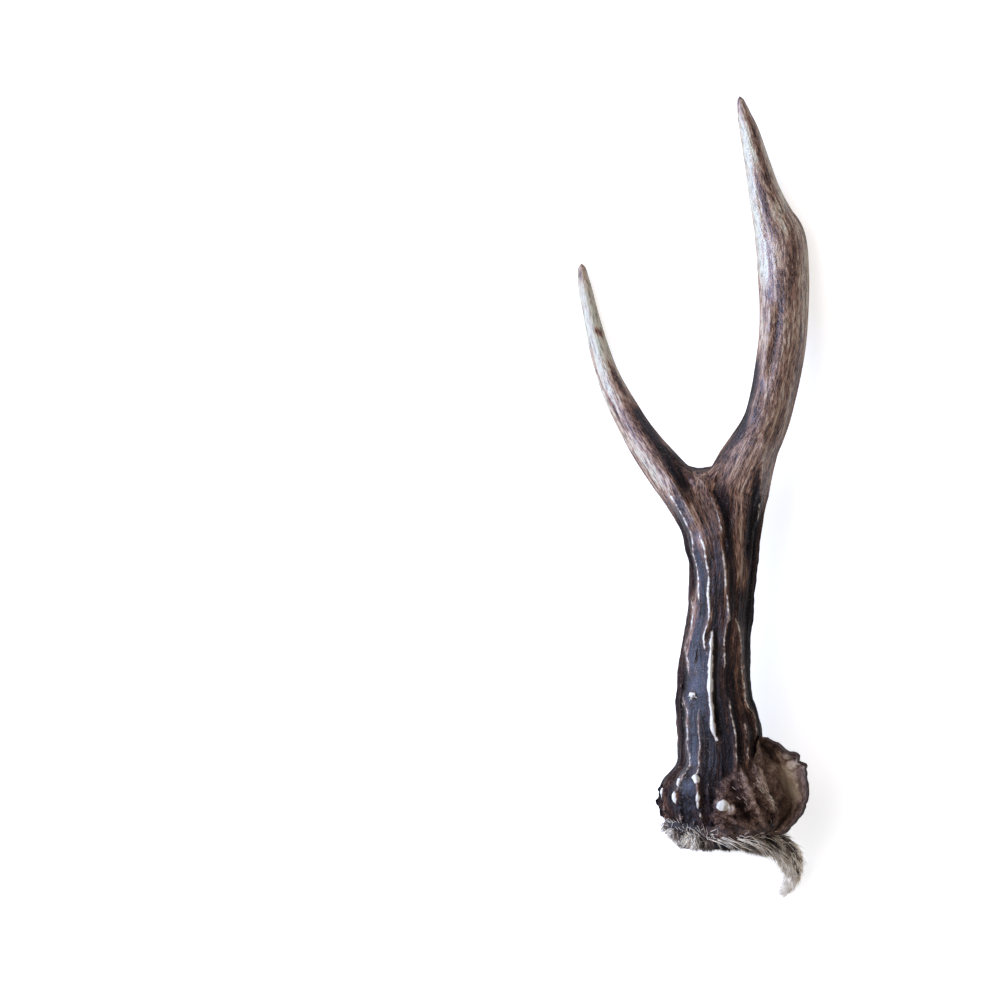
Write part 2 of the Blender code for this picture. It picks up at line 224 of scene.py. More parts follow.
# Places drawn paler or darker: (tone, half width, strength, line). Most are the bark's own stains and
# rubbed streaks; the rows marked below are painted highlights, painted shade and painted light.
PAINT = (
    (0.20, 0.8, 0.9, ((-28.2, 45.0), (-26.4, 41.0), (-24.6, 36.6), (-21.6, 31.5), (-18.4, 26.7))),
    (0.10, 2.5, 1.0, (
        (-22.0, 32.5), (-18.6, 27.0), (-14.9, 21.0), (-11.0, 15.2), (-7.4, 9.4), (-4.0, 3.5),
        (-1.0, -3.5),
    )),
    (0.70, 0.7, 0.9, ((-22.4, 37.0), (-18.7, 31.0), (-13.8, 23.8), (-9.8, 17.4), (-6.4, 12.8))),
    (0.25, 0.6, 0.9, ((-20.4, 35.2), (-15.0, 27.0), (-10.0, 20.0), (-5.4, 13.6), (-1.0, 9.6))),
    (0.22, 0.45, 0.8, ((-33.9, 51.0), (-31.8, 42.0), (-28.8, 34.0), (-24.6, 25.5), (-20.2, 17.5))),
    (0.22, 0.40, 0.8, ((-31.0, 38.0), (-27.6, 31.0), (-22.4, 21.0), (-17.4, 12.0))),
    (0.15, 1.6, 0.9, (
        (-10.9, 16.3), (-6.1, 12.0), (-1.3, 8.9), (2.9, 8.2), (6.7, 9.9), (11.5, 15.9), (15.8, 23.5),
    )),
    (0.20, 1.0, 0.9, ((-32.4, 53.6), (-31.2, 52.4), (-30.0, 51.6), (-29.4, 49.6))),
    # painted highlight: a pale band down the left shoulder, from the short tine to the beam
    (0.80, 1.6, 0.9, ((-25.0, 24.0), (-18.0, 13.5), (-12.0, 5.6), (-9.2, 2.0), (-7.6, -0.8))),
    (0.10, 1.8, 0.9, ((-7.8, 2.0), (-5.4, -3.0), (-3.6, -8.0), (-2.0, -14.0))),
    # painted highlight on the left shoulder of the fork
    (0.66, 1.0, 0.8, ((-5.4, 1.4), (-2.6, -4.0), (0.2, -9.6), (2.4, -16.0), (3.8, -23.0))),
    (0.12, 2.4, 0.7, ((4.6, -13.0), (5.8, -22.0), (6.8, -34.0), (6.4, -42.0))),
    (0.10, 2.6, 0.8, ((-7.4, -5.0), (-4.6, -9.0), (-2.6, -14.0), (-1.0, -22.0), (-0.8, -34.0))),
    # painted shade: the beam darkened along its right edge, the side turned away from the lamps
    (0.02, 1.3, 0.9, (
        (20.5, 2.0), (19.0, -20.0), (17.4, -34.0), (17.4, -50.0), (18.2, -62.0), (20.6, -72.0),
    )),
    # painted light: the short tine made paler along its left edge, the side that the window lights
    (0.92, 1.3, 0.7, (
        (-36.2, 68.0), (-35.2, 58.7), (-33.9, 52.3), (-32.4, 45.9), (-30.4, 39.5), (-28.0, 33.1),
        (-24.6, 26.0),
    )),
    (0.22, 1.2, 0.85, ((16.6, 126.0), (18.6, 118.0), (21.3, 108.5), (24.2, 99.0), (27.6, 90.0))),
    (0.22, 1.4, 0.9, ((18.6, 109.0), (20.4, 101.0), (22.6, 93.0), (25.0, 86.0), (27.4, 79.0))),
    (0.42, 0.5, 0.7, ((19.2, 98.0), (20.8, 90.0), (22.4, 82.0), (24.4, 74.0))),
    (0.26, 2.2, 0.85, ((29.4, 86.0), (31.4, 81.0), (31.2, 74.0), (30.6, 66.0), (30.2, 58.0))),
    (0.28, 1.3, 0.8, (
        (27.0, 76.0), (27.6, 68.0), (27.2, 60.0), (26.6, 52.0), (25.6, 44.0), (24.0, 36.0),
    )),
    # partly its own tan rim, partly painted light lifting the long tine's dimly lit right side
    (0.72, 1.6, 0.7, ((35.4, 84.0), (36.5, 76.0), (36.4, 64.0), (35.8, 54.0))),
    # partly its ivory, partly a painted highlight: the pale band down the left third of the long tine
    (0.95, 1.5, 0.8, (
        (15.8, 122.0), (17.4, 112.0), (19.2, 98.0), (21.0, 84.0), (22.6, 72.0), (23.0, 62.0),
    )),
    # painted highlight along the ridge on the left of the long tine
    (0.66, 1.1, 0.8, ((24.4, 64.0), (24.3, 56.0), (23.2, 48.0), (21.6, 41.0), (19.8, 35.0))),
    (0.12, 1.9, 1.0, ((21.0, 48.0), (19.8, 39.0), (17.8, 29.0), (14.8, 20.0), (11.6, 13.0))),
    (0.30, 1.2, 0.7, ((34.0, 44.0), (32.0, 34.0), (28.6, 24.0), (25.6, 12.0))),
    # partly its own tan, partly painted light lifting the long tine's dimly lit right side
    (0.75, 0.9, 0.7, ((30.0, 40.0), (28.2, 33.0), (26.6, 26.0), (25.0, 18.0))),
    (0.60, 1.5, 0.9, ((14.7, 9.0), (14.4, -3.2), (14.4, -12.3), (15.0, -20.6), (15.4, -33.0))),
    (0.06, 1.2, 0.8, ((20.6, 12.0), (19.6, 4.0), (18.6, -6.0), (18.0, -16.0), (17.6, -27.0))),
    (0.20, 1.0, 0.7, ((12.0, 0.0), (10.8, -8.0), (10.6, -18.0), (12.0, -30.0))),
    (0.15, 2.8, 0.85, ((3.0, 4.0), (8.0, 2.0), (10.0, -4.0), (10.6, -12.0))),
    (0.46, 1.1, 0.8, ((4.0, 1.5), (6.6, -2.5), (8.2, -9.0), (8.8, -17.0))),
    # partly its own tan, partly painted light lifting the long tine's dimly lit right side
    (0.55, 2.0, 0.7, ((28.0, 94.0), (31.0, 88.0), (34.0, 82.0))),
    # partly its own tan, partly painted light lifting the long tine's dimly lit right side
    (0.66, 2.6, 0.8, ((34.0, 66.0), (33.4, 56.0), (32.0, 46.0))),
    # painted shade on the unlit right side of the ridge at the fork
    (0.07, 1.1, 0.9, ((4.4, 3.0), (7.6, -1.5), (9.8, -7.0), (11.0, -14.0), (11.2, -24.0))),
    (0.25, 1.2, 0.8, (
        (12.6, -34.0), (12.2, -42.0), (12.0, -50.0), (13.0, -58.0), (14.2, -66.0), (15.6, -76.0),
    )),
    (0.22, 0.8, 0.8, (
        (7.6, -30.0), (8.2, -42.0), (8.2, -52.0), (8.8, -62.0), (10.0, -72.0), (10.6, -82.0),
    )),
    # partly its own tan, partly painted light lifting the long tine's dimly lit right side
    (0.60, 2.4, 0.8, ((31.0, 42.0), (29.0, 30.0), (26.0, 18.0))),
    (0.36, 2.0, 0.8, ((22.6, 36.0), (21.0, 28.0), (19.0, 20.0), (17.0, 12.0))),
)

# Pearls seen from above: (across, along, half width, half length, lean in degrees, rise, how white)
PEARLS = (
    (-10.4, -95.2, 1.1, 3.0, 0.0, 1.0, 0.85),
    (-4.8, -92.4, 1.0, 2.3, -14.0, 0.8, 0.85),
    (0.9, -91.4, 1.3, 5.2, -28.0, 1.0, 1.0),
    (-6.5, -96.9, 1.25, 2.5, -16.0, 1.1, 0.92),
    (0.9, -97.6, 0.9, 3.1, 3.0, 0.7, 0.8),
    (-9.8, -100.2, 0.8, 1.7, 0.0, 1.0, 0.45),
    (-4.6, -103.4, 1.0, 2.4, 5.0, 0.9, 0.62),
    (8.5, -99.3, 2.7, 2.3, 8.0, 1.9, 1.0),
    (11.9, -101.0, 1.8, 2.3, 0.0, 2.1, 0.49),
    (1.7, -102.6, 0.8, 1.6, 0.0, 0.7, 0.62),
    (-4.2, -106.6, 1.0, 1.9, 5.0, 0.9, 0.58),
    (-0.6, -105.4, 0.8, 1.6, 0.0, 0.7, 0.30),
    (2.4, -107.0, 0.8, 1.7, 5.0, 0.7, 0.50),
    (9.4, -106.2, 0.6, 1.6, 60.0, 0.6, 0.6),
    (18.7, -107.8, 0.7, 1.6, 70.0, 0.7, 0.45),
    (-0.6, -64.2, 1.5, 1.1, 25.0, 1.1, 0.9),
    (-4.2, -61.6, 0.7, 0.8, 0.0, 0.7, 0.6),
    (10.5, -39.3, 0.8, 2.0, 0.0, 0.9, 0.55),
    (14.9, -55.4, 0.8, 1.1, 0.0, 0.7, 0.4),
)
BIG_PEARLS = (9.8, -100.4)  # between the two big ones, which stand clear of the skin
BURR = (-110.5, -90.0)  # the burr's own length along the beam
BURR_MIDDLE = (8.0, 20.0)  # (across, height)
PEARL_ROWS = ((-103.6, 26), (-99.0, 24), (-94.2, 20))  # small pearls round the burr: (along, count)
UPPER_SIDE = 0.35  # where the normals point up by more than this, only the pearls listed above stand
HIDDEN_RIDGES = 15  # on the flanks and the underside of the beam
HIDDEN_ARC = (58.0, 302.0)  # degrees from the crown line to the first and the last of them

# Left and upper edges of the dried skin on the burr: (along, across) and (across, along)
SKIN_LEFT = ((-112.0, 4.0), (-107.0, 7.0), (-103.2, 5.8), (-99.4, 6.6), (-95.5, 7.2), (-91.7, 7.6),
             (-89.0, 9.0))
SKIN_TOP = ((7.0, -93.5), (11.5, -90.0), (17.9, -87.0), (21.0, -84.5), (24.0, -82.0))
SKIN_FOOT = 13.0  # height that it reaches down to
# Folds of that skin: (rise, how much paler, half width, line)
SKIN_FOLDS = (
    (1.1, 0.30, 1.3, ((19.4, -88.0), (21.6, -92.5), (24.2, -97.5), (26.8, -102.5), (28.6, -107.0))),
    (0.8, 0.16, 1.0, ((15.0, -90.0), (17.8, -96.0), (20.4, -102.0), (22.6, -107.5))),
    (0.6, 0.10, 0.9, ((11.5, -104.0), (15.0, -106.0), (19.5, -106.6))),
    (-0.8, -0.16, 1.4, ((12.0, -93.0), (14.2, -98.0), (17.0, -103.0))),
)
LINE_FADE = 1.0  # the mark of a rubbed line falls from 1 at its edge to 0 over this distance

# ---- hide and fur ----

# Cup of dried hide, cut across: place along the beam, then (across, height) of its inner edge, its inner
# wall, its belly, its outer wall and its rim
HIDE_CUP = (
    (-77.6, (20.6, 25.4), (21.2, 25.2), (21.8, 25.4), (22.6, 26.0), (23.2, 26.6)),
    (-80.0, (19.6, 27.0), (22.4, 25.0), (23.8, 24.8), (25.4, 26.2), (26.6, 28.6)),
    (-82.6, (19.4, 29.0), (23.8, 25.0), (26.2, 24.2), (29.4, 26.2), (31.6, 30.6)),
    (-85.0, (18.8, 31.6), (23.4, 27.8), (27.6, 23.6), (32.8, 25.9), (34.8, 31.1)),
    (-88.0, (18.8, 32.8), (23.8, 28.4), (28.6, 23.0), (33.8, 25.2), (35.5, 31.4)),
    (-90.6, (20.2, 33.0), (25.0, 28.6), (29.2, 22.6), (34.0, 24.9), (35.6, 31.4)),
    (-95.6, (23.8, 32.4), (27.2, 28.4), (30.6, 22.2), (34.9, 24.8), (36.5, 31.4)),
    (-100.2, (25.6, 30.2), (28.0, 27.2), (30.8, 22.4), (34.3, 25.0), (35.4, 31.0)),
    (-104.4, (25.6, 28.6), (27.6, 26.8), (29.8, 24.6), (31.8, 26.4), (32.8, 30.2)),
    (-107.2, (24.4, 27.6), (26.0, 26.6), (27.8, 26.2), (29.4, 27.0), (30.6, 28.8)),
    (-109.2, (24.0, 26.0), (24.8, 25.8), (25.6, 26.0), (26.4, 26.4), (27.2, 27.0)),
)
HIDE_STEPS = (10, 14, 16, 14)  # faces from each of those five places to the next
HIDE_THICKNESS = 0.9
HIDE_KNOBS = ((31.8, -86.6, 2.0), (34.4, -85.0, 1.6), (30.4, -83.4, 1.5))  # (across, along, size)
HIDE_CREASE = ((22.4, -80.6), (24.0, -83.2), (26.2, -85.6), (28.6, -86.4), (30.2, -85.2))

# Collar of haired skin around the pedicle: (place along the beam, radius), once round its section
COLLAR = (
    (-110.5, 11.8),
    (-107.6, 13.8),
    (-105.2, 16.0),
    (-104.2, 17.0),
    (-105.4, 17.6),
    (-107.2, 17.5),
    (-109.2, 16.2),
    (-111.4, 14.2),
    (-112.8, 12.8),
    (-113.2, 11.8),
)
COLLAR_OUTSIDE = COLLAR[3:9]
COLLAR_MIDDLE = (8.4, 20.0)  # (across, height)
COLLAR_SIDES = 192

# Its hair: (name, first and last turn around it, where 0 is up and the right comes first, and count)
COLLAR_FUR = (("collar_fur_upper", -1.75, 1.75, 6400), ("collar_fur_lower", 1.75, 4.53, 5400))
COLLAR_ROOTS = (-112.6, -105.6)  # the hair grows between these two places, and on top up to FUR_TOP
COLLAR_REACH = 16.5  # from the collar's middle to the hair on its sides

# The strip that trails from the collar: (across, along, height, half width, half depth)
STRIP = (
    (20.2, -110.8, 18.6, 2.8, 1.8),
    (24.6, -111.8, 17.0, 3.2, 2.4),
    (28.6, -113.6, 14.4, 3.4, 2.6),
    (31.1, -117.6, 10.4, 2.9, 2.4),
    (32.2, -121.6, 6.4, 2.1, 2.0),
    (31.4, -125.0, 3.4, 1.3, 1.4),
    (30.1, -126.6, 1.9, 0.6, 0.8),
)
STRIP_SIDES = 36
STRIP_HAIRS = 3600

HAIR_TAPER = 0.85  # share of its width that a hair loses by its tip
HAIR_SIDE = (0.31, 0.23, 0.92)  # a way that hardly any hair follows, to take the hairs' sides from

# Where the fur starts on the collar's upper side and how far it reaches, from the left: (across, along)
FUR_TOP = ((-9.4, -104.8), (-6.4, -106.4), (-2.2, -108.4), (1.9, -110.2), (6.6, -110.9), (15.8, -110.9),
           (20.0, -110.4), (25.0, -108.6))
FUR_EDGE = ((-9.6, -106.6), (-6.4, -110.6), (-2.6, -113.1), (1.9, -114.0), (8.3, -114.0), (15.7, -114.4),
            (20.2, -115.7), (26.0, -117.0))

FUR_START = -107.6  # loose hairs above this line stand on the burr, and those below it on the collar

# Loose hairs: (count, first and last root as (across, along), scatter of the roots, way, spread of the
# ways, bend, shortest, longest, shade)
STRAYS = (
    (130, (-9.2, -104.6), (1.0, -109.8), 0.6, (0.55, -0.7, 0.4), 0.35, (0.0, -0.1, -0.2), 1.8, 4.2, 0.85),
    (90, (-9.2, -104.9), (2.0, -109.8), 0.6, (-0.45, 0.6, 0.7), 0.40, (0.0, 0.1, -0.1), 1.4, 3.6, 0.75),
    (80, (1.0, -109.4), (7.0, -110.6), 0.8, (-0.15, 0.8, 0.5), 0.4, (0.0, 0.0, -0.2), 2.2, 6.0, 0.75),
    (36, (5.0, -109.6), (26.0, -109.8), 0.7, (0.6, 0.4, 0.6), 0.45, (0.2, -0.3, -0.2), 2.0, 4.5, 0.75),
    (34, (4.0, -110.2), (15.0, -110.8), 0.6, (0.97, -0.22, 0.2), 0.16, (0.0, -0.12, -0.2), 6.0, 11.0, 1.0),
    (50, (16.0, -110.6), (25.0, -111.4), 0.6, (0.9, -0.4, 0.2), 0.18, (0.0, -0.3, -0.3), 5.0, 9.0, 1.0),
    (26, (12.0, -92.0), (24.0, -104.0), 2.4, (0.5, -0.8, 0.2), 0.2, (0.0, 0.0, -0.2), 0.8, 2.2, 0.45),
    (60, (19.5, -91.0), (26.5, -101.0), 0.6, (0.7, -0.6, 0.3), 0.28, (0.0, 0.0, -0.3), 0.8, 2.2, 0.55),
    (9, (-0.9, -64.8), (-0.1, -64.6), 0.3, (0.0, -0.5, 0.3), 0.6, (0.0, 0.0, -0.3), 0.9, 1.6, 0.95),
)


def smoothstep(share):
    """0 up to 0, 1 from 1 on, and a smooth slope between them."""
    share = np.clip(share, 0.0, 1.0)
    return share * share * (3.0 - 2.0 * share)


def bell(gap, half_width):
    """1 at no gap, and next to nothing past two half widths."""
    return np.exp(-((gap / half_width) ** 2))


def fade_ends(run, length, over):
    """1 along a line, and down to 0 over that length at both its ends."""
    return smoothstep(run / over) * smoothstep((length - run) / over)


def unit(vectors):
    return vectors / np.linalg.norm(vectors, axis=-1, keepdims=True)


def smooth_rows(stations, steps):
    """Rows on a smooth curve through the stations, with so many steps from each of them to the next."""
    table = np.array(stations, float)
    last = len(table) - 1
    rows = []
    for k in range(last):
        a, b, c, d = (table[min(max(k + step, 0), last)] for step in (-1, 0, 1, 2))
        t = (np.arange(steps[k]) / steps[k])[:, None]
        rows.append(b + 0.5 * t * (c - a + t * (2 * a - 5 * b + 4 * c - d + t * (3 * (b - c) + d - a))))
    rows.append(table[last:])
    return np.concatenate(rows)


def rows_through(stations, spacing, measured):
    """Rows on a smooth curve through the stations, that far apart as their first columns measure it."""
    gaps = np.linalg.norm(np.diff(np.array(stations, float)[:, :measured], axis=0), axis=1)
    return smooth_rows(stations, np.maximum(1, np.round(gaps / spacing)).astype(int))


def beam_points(rows, turn):
    """Points of the beam: one row of them for each row, one column for each turn from the crown line."""
    along, left, crown, right, height, depth = (rows[:, k:k + 1] for k in range(6))
    reach = np.where(np.sin(turn) > 0.0, crown - left, right - crown)
    across = crown - reach * np.sin(turn)
    fade = smoothstep((BEAM[-1][0] - along) / FORK_WAIST_RISE)
    pinch = np.exp(-(((across - crown) / FORK_WAIST_WIDTH) ** 2)) * FORK_WAIST * (1.0 - fade)
    upward = depth * np.cos(turn) * (1.0 - pinch)
    return np.stack([across, along + 0.0 * turn, height + upward], axis=-1)


def saddle_points(ring, columns, steps):
    """Points of the saddle between the tines, from the front of the fork to its underside."""
    columns = np.asarray(columns)
    front, back = ring[columns], ring[HALF_RING - columns]
    side = (-columns / CROWN)[:, None]
    middle, half = (front + back) / 2.0, (front - back) / 2.0
    bottom = np.hstack([
        CROTCH[0] + side * CROTCH_HALF_WIDTH, CROTCH[1] + CROTCH_LIFT * side * side, middle[:, 2:]
    ])
    turn = math.pi * np.asarray(steps)[:, None, None] / SADDLE
    return middle + half * np.cos(turn) + (bottom - middle) * np.abs(np.sin(turn)) ** SADDLE_SHAPE


def frame_along(middle):
    """The way, the side and the upward of each point of a line, as unit vectors."""
    way = unit(np.gradient(middle, axis=0))
    side = unit(np.cross(way, (0.0, 0.0, 1.0)))
    return way, side, np.cross(side, way)


def oval_points(middle, side, upward, rows, turn):
    """Points of ovals whose half width and half depth are the rows' last two columns."""
    wide = (rows[:, 3:4] * np.cos(turn))[..., None]
    deep = (rows[:, 4:5] * np.sin(turn))[..., None]
    return middle + side * wide + upward * deep


def tube_points(rows, turn):
    """Points of a tube of (across, along, height, half width, half depth) rows."""
    _, side, upward = frame_along(rows[:, :3])
    return oval_points(rows[:, None, :3], side[:, None], upward[:, None], rows, turn)


def tine_points(rows, foot):
    """Points of a tine, the same on the tine pulled straight, its columns' turns and its rows' runs."""
    first = rows[0]
    start = np.unwrap(np.arctan2((foot[:, 2] - first[2]) / first[4], (foot[:, 0] - first[0]) / first[3]))
    middle = rows[:, :3]
    from_fork = np.linalg.norm(middle - middle[0], axis=1)
    own = 1.0 - (1.0 - np.minimum(from_fork / FORK_BLEND, 1.0)) ** 2
    even = start[0] + math.tau * np.arange(len(foot)) / len(foot)
    even += UPPER_SHARE * (np.cos(even) - math.cos(even[0]))
    turn = start + (even - start) * own[:, None]
    run = np.concatenate([[0.0], np.cumsum(np.linalg.norm(np.diff(middle, axis=0), axis=1))])
    across, along, upward = np.eye(3)
    straight = oval_points(middle[0] + run[:, None, None] * along, across, upward, rows, turn)
    own = own[:, None, None]
    return foot + (tube_points(rows, turn) - foot) * own, foot + (straight - foot) * own, turn, run


def closed(points):
    """The points with their first column again after the last, so that their sheet closes into a tube."""
    return np.concatenate([points, points[:, :1]], axis=1)


def lay_sheet(bm, points, marks):
    """Add a sheet of faces with the points as its corners, and with its marks in vertex layers."""
    rows, columns = points.shape[0] - 1, points.shape[1] - 1
    sheet = bmesh.ops.create_grid(bm, x_segments=columns, y_segments=rows, size=0.5)
    for vert in sheet["verts"]:
        i = round((vert.co.x + 0.5) * columns)
        j = round((vert.co.y + 0.5) * rows)
        vert.co = points[j, i]
        for layer, values in marks.items():
            vert[layer] = values[j, i]


def antler_form():
    """The whole antler as one closed skin. Each point is marked with its place on the antler pulled
    straight, and with its run along its branch, its turn around it and the branch's number: 0 is the beam,
    1 the short tine and 2 the long one."""
    bm = bmesh.new()
    grain = bm.verts.layers.float_vector.new("grain")
    way = bm.verts.layers.float_vector.new("way")

    rows = rows_through(BEAM, BEAM_ROW, 2)
    along, _, crown, _, height, _ = rows[0]
    middle = np.array((along, crown, crown, crown, height, 0.0))
    rows = np.vstack([middle + (rows[0] - middle) * np.array(SAWN_RINGS)[:, None], rows])
    turn = math.pi * np.arange(2 * HALF_RING + 1) / HALF_RING
    turn -= UPPER_SHARE * np.sin(turn)
    points = beam_points(rows, turn)
    points[:, -1] = points[:, 0]
    straight = np.repeat(points[-1:], len(rows), axis=0)
    straight[..., 1] = rows[:, :1]
    marks = np.stack(np.broadcast_arrays(rows[:, :1], turn, 0.0), axis=-1)
    lay_sheet(bm, points, {grain: straight, way: marks})

    ring = points[-1, :-1]
    columns = np.arange(-CROWN, CROWN + 1)
    saddle = saddle_points(ring, columns, range(SADDLE + 1))
    turn = math.pi * np.arange(SADDLE + 1)[:, None] / SADDLE
    marks = np.stack(np.broadcast_arrays(BEAM[-1][0], turn, np.zeros(len(columns))), axis=-1)
    lay_sheet(bm, saddle, {grain: saddle, way: marks})

    left_foot = np.vstack([
        ring[CROWN:HALF_RING - CROWN + 1],
        saddle_points(ring, [CROWN], range(SADDLE - 1, 0, -1))[:, 0],
    ])
    right_foot = np.vstack([
        ring[HALF_RING + CROWN:2 * HALF_RING - CROWN + 1],
        saddle_points(ring, [-CROWN], range(1, SADDLE))[:, 0],
    ])
    for number, stations, foot in ((1.0, SHORT_TINE, left_foot), (2.0, LONG_TINE, right_foot)):
        rows = rows_through(stations, TINE_ROW, 3)
        points, straight, turn, run = tine_points(rows, foot)
        marks = np.stack(np.broadcast_arrays(run[:, None], turn, number), axis=-1)
        lay_sheet(bm, closed(points), {grain: closed(straight), way: closed(marks)})
    bmesh.ops.remove_doubles(bm, verts=bm.verts, dist=WELD)
    crotch = Vector((*CROTCH, float(ring[0, 2] + ring[HALF_RING, 2]) / 2.0))
    near = [vert for vert in bm.verts if (vert.co - crotch).length < SADDLE_REACH]
    for _ in range(SADDLE_ROUNDS):
        bmesh.ops.smooth_vert(bm, verts=near, factor=0.5, use_axis_x=True, use_axis_y=True, use_axis_z=True)
    bmesh.ops.recalc_face_normals(bm, faces=bm.faces)
    return bm


# ---- working on a mesh's points ----

def new_piece(name, bm, material):
    """A piece from a bmesh in millimetres, with no modifiers yet."""
    mesh = bpy.data.meshes.new(name)
    bm.to_mesh(mesh)
    bm.free()
    mesh.materials.append(material)
    mesh.shade_smooth()
    piece = bpy.data.objects.new(name, mesh)
    bpy.context.collection.objects.link(piece)
    return piece


def read_vectors(rows, name="co"):
    """A mesh's points, or its normals or marks, as an array with a row for each point."""
    values = np.empty(len(rows) * 3, np.float32)
    rows.foreach_get(name, values)
    return values.reshape(-1, 3).astype(float)


def write_points(mesh, points):
    """Move a mesh's points to those places, from millimetres to metres."""
    mesh.vertices.foreach_set("co", (points * MM).astype(np.float32).ravel())
    mesh.update()


def write_mark(mesh, name, values):
    """Write a value to each of a mesh's points, for its material to read."""
    layer = mesh.attributes.get(name) or mesh.attributes.new(name, "FLOAT", "POINT")
    layer.data.foreach_set("value", np.asarray(values, np.float32))


def lumps(points, size, stretch=1.0):
    """Smooth noise from about -1 to 1, with lumps of that size across and `stretch` times that along Y."""
    scaled = points / (size, size * stretch, size)
    return np.array([noise.noise(p) for p in scaled])


def wrinkles_of(points):
    """The wrinkles of thin skin: 1 along their crests and below 0 between them."""
    return 1.0 - np.abs(lumps(points + 5.0, 5.0, 0.8)) * 2.2


def near_line(places, line, reach):
    """Which places lie within reach of a smooth line, how far from it and along it, and its length."""
    path = rows_through(line, 1.0, 2)
    inside = np.all((places > path.min(0) - reach) & (places < path.max(0) + reach), axis=1)
    found = np.flatnonzero(inside)
    spots = places[found]
    gap = np.full(len(spots), np.inf)
    run = np.zeros(len(spots))
    passed = 0.0
    for a, b in zip(path[:-1], path[1:]):
        span = b - a
        length = np.hypot(*span)
        share = np.clip((spots - a) @ span / length**2, 0.0, 1.0)
        here = np.hypot(*(spots - a - share[:, None] * span).T)
        closer = here < gap
        gap[closer] = here[closer]
        run[closer] = (passed + share * length)[closer]
        passed += length
    close = gap < reach
    return found[close], gap[close], run[close], passed


# ---- the antler's surface ----

def carve_crests(points, normals, front, rise, tone, white):
    """Raise the ridges that show from above, rubbed white along their crests."""
    steep = np.sqrt(np.clip(normals[:, 2], 0.35, 1.0))
    for number, (height, flank, line_width, how_white, line) in enumerate(CRESTS):
        # a ridge is found by where its crest will lie once it has been lifted
        places = points[:, :2] + max(height - 0.4, 0.3) * normals[:, :2]
        found, gap, run, length = near_line(places, line, CREST_REACH * flank)
        beads = 1.0 + 0.15 * np.sin(run * 0.45 + number) + 0.05 * np.sin(run * 2.1 + 2.0 * number)
        ends = fade_ends(run, length, 5.0)
        share = (np.exp(-gap / flank) - math.exp(-CREST_REACH)) * ends * front[found]
        rise[found] += height * beads * share
        tone[found] += 0.16 * how_white**0.5 * bell(gap, 0.8) * ends * front[found]
        wander = line_width * (0.15 * np.sin(run * 0.35 + 3.0 * number) + 0.12 * np.sin(run * 0.9 + number))
        rubbed = 1.0 - (gap / steep[found] - wander - line_width) / LINE_FADE
        rubbed -= 0.5 * (1.0 - how_white) + 0.4 * (1.0 - ends)
        rubbed += 0.05 * np.sin(run * 0.28 + 2.0 * number) + 0.05 * np.sin(run * 0.8 + number)
        white[found] = np.maximum(white[found], np.clip(rubbed, 0.0, 2.0) * front[found])


def carve_gutters(places, front, rise, tone):
    """Sink the gutters between the ridges, and leave them dark."""
    for depth, half_width, how_dark, line in GUTTERS:
        found, gap, run, length = near_line(places, line, 3.0 * half_width)
        share = bell(gap, half_width) * fade_ends(run, length, 4.0) * front[found]
        rise[found] -= depth * share
        tone[found] *= 1.0 - 0.8 * how_dark * share


def paint_lines(places, front, tone):
    """Draw the tone towards that of each place in PAINT."""
    for new_tone, half_width, strength, line in PAINT:
        found, gap, run, length = near_line(places, line, 2.5 * half_width)
        ends = fade_ends(run, length, min(8.0, 0.4 * length))
        share = bell(gap, half_width) * ends * strength * front[found]
        tone[found] += (new_tone - tone[found]) * share


def grow_pearl(points, wobble, centre, half_width, half_length, lean, height, how_white, rise, white):
    """Raise an uneven oval bead around a point of the surface."""
    offset = points - centre
    tilt = math.radians(lean)
    along = offset[:, 1] * math.cos(tilt) + offset[:, 0] * math.sin(tilt)
    across = offset[:, 0] * math.cos(tilt) - offset[:, 1] * math.sin(tilt)
    far = (across**2 + offset[:, 2] ** 2) / half_width**2 + (along / half_length) ** 2
    far *= 1.0 + wobble * min(1.0, 1.0 / half_width)
    share = np.clip(1.0 - far, 0.0, 1.0) ** 0.8
    rise += height * share
    np.maximum(white, (0.55 + 0.9 * how_white) * smoothstep(share * 1.8), out=white)


def front_point(points, normals, across, along):
    """The point of the antler's upper side that lies at that place, seen from above."""
    miss = np.hypot(points[:, 0] - across, points[:, 1] - along)
    return points[np.argmin(miss + np.where(normals[:, 2] > 0.05, 0.0, FAR))]


def grow_pearls(points, normals, rise, white):
    """The pearls seen from above, and rows of small ones round the rest of the burr."""
    wobble = 0.9 * lumps(points + 15.0, 1.1)
    for across, along, half_width, half_length, lean, height, how_white in PEARLS:
        centre = front_point(points, normals, across, along)
        grow_pearl(points, wobble, centre, half_width, half_length, lean, height, how_white, rise, white)
    random = np.random.default_rng(11)
    section = points[:, [0, 2]] - BURR_MIDDLE
    for row, (along, count) in enumerate(PEARL_ROWS):
        for k in range(count):
            turn = math.tau * (k + 0.5 * row + random.uniform(-0.22, 0.22)) / count
            place = along + random.uniform(-1.6, 1.6)
            size = random.uniform(0.7, 1.4)
            how_white = random.choice((0.0, 0.20, 0.65), p=(0.6, 0.3, 0.1))
            out = section @ (math.sin(turn), math.cos(turn))
            side = section @ (math.cos(turn), -math.sin(turn))
            miss = np.abs(points[:, 1] - place) + np.abs(side)
            nearest = np.argmin(miss + np.where(out > 0.0, 0.0, FAR))
            if normals[nearest, 2] <= UPPER_SIDE:
                half_length = size * random.uniform(1.3, 2.4)
                grow_pearl(points, wobble, points[nearest], size, half_length, 0.0, 0.8 * size, how_white,
                           rise, white)


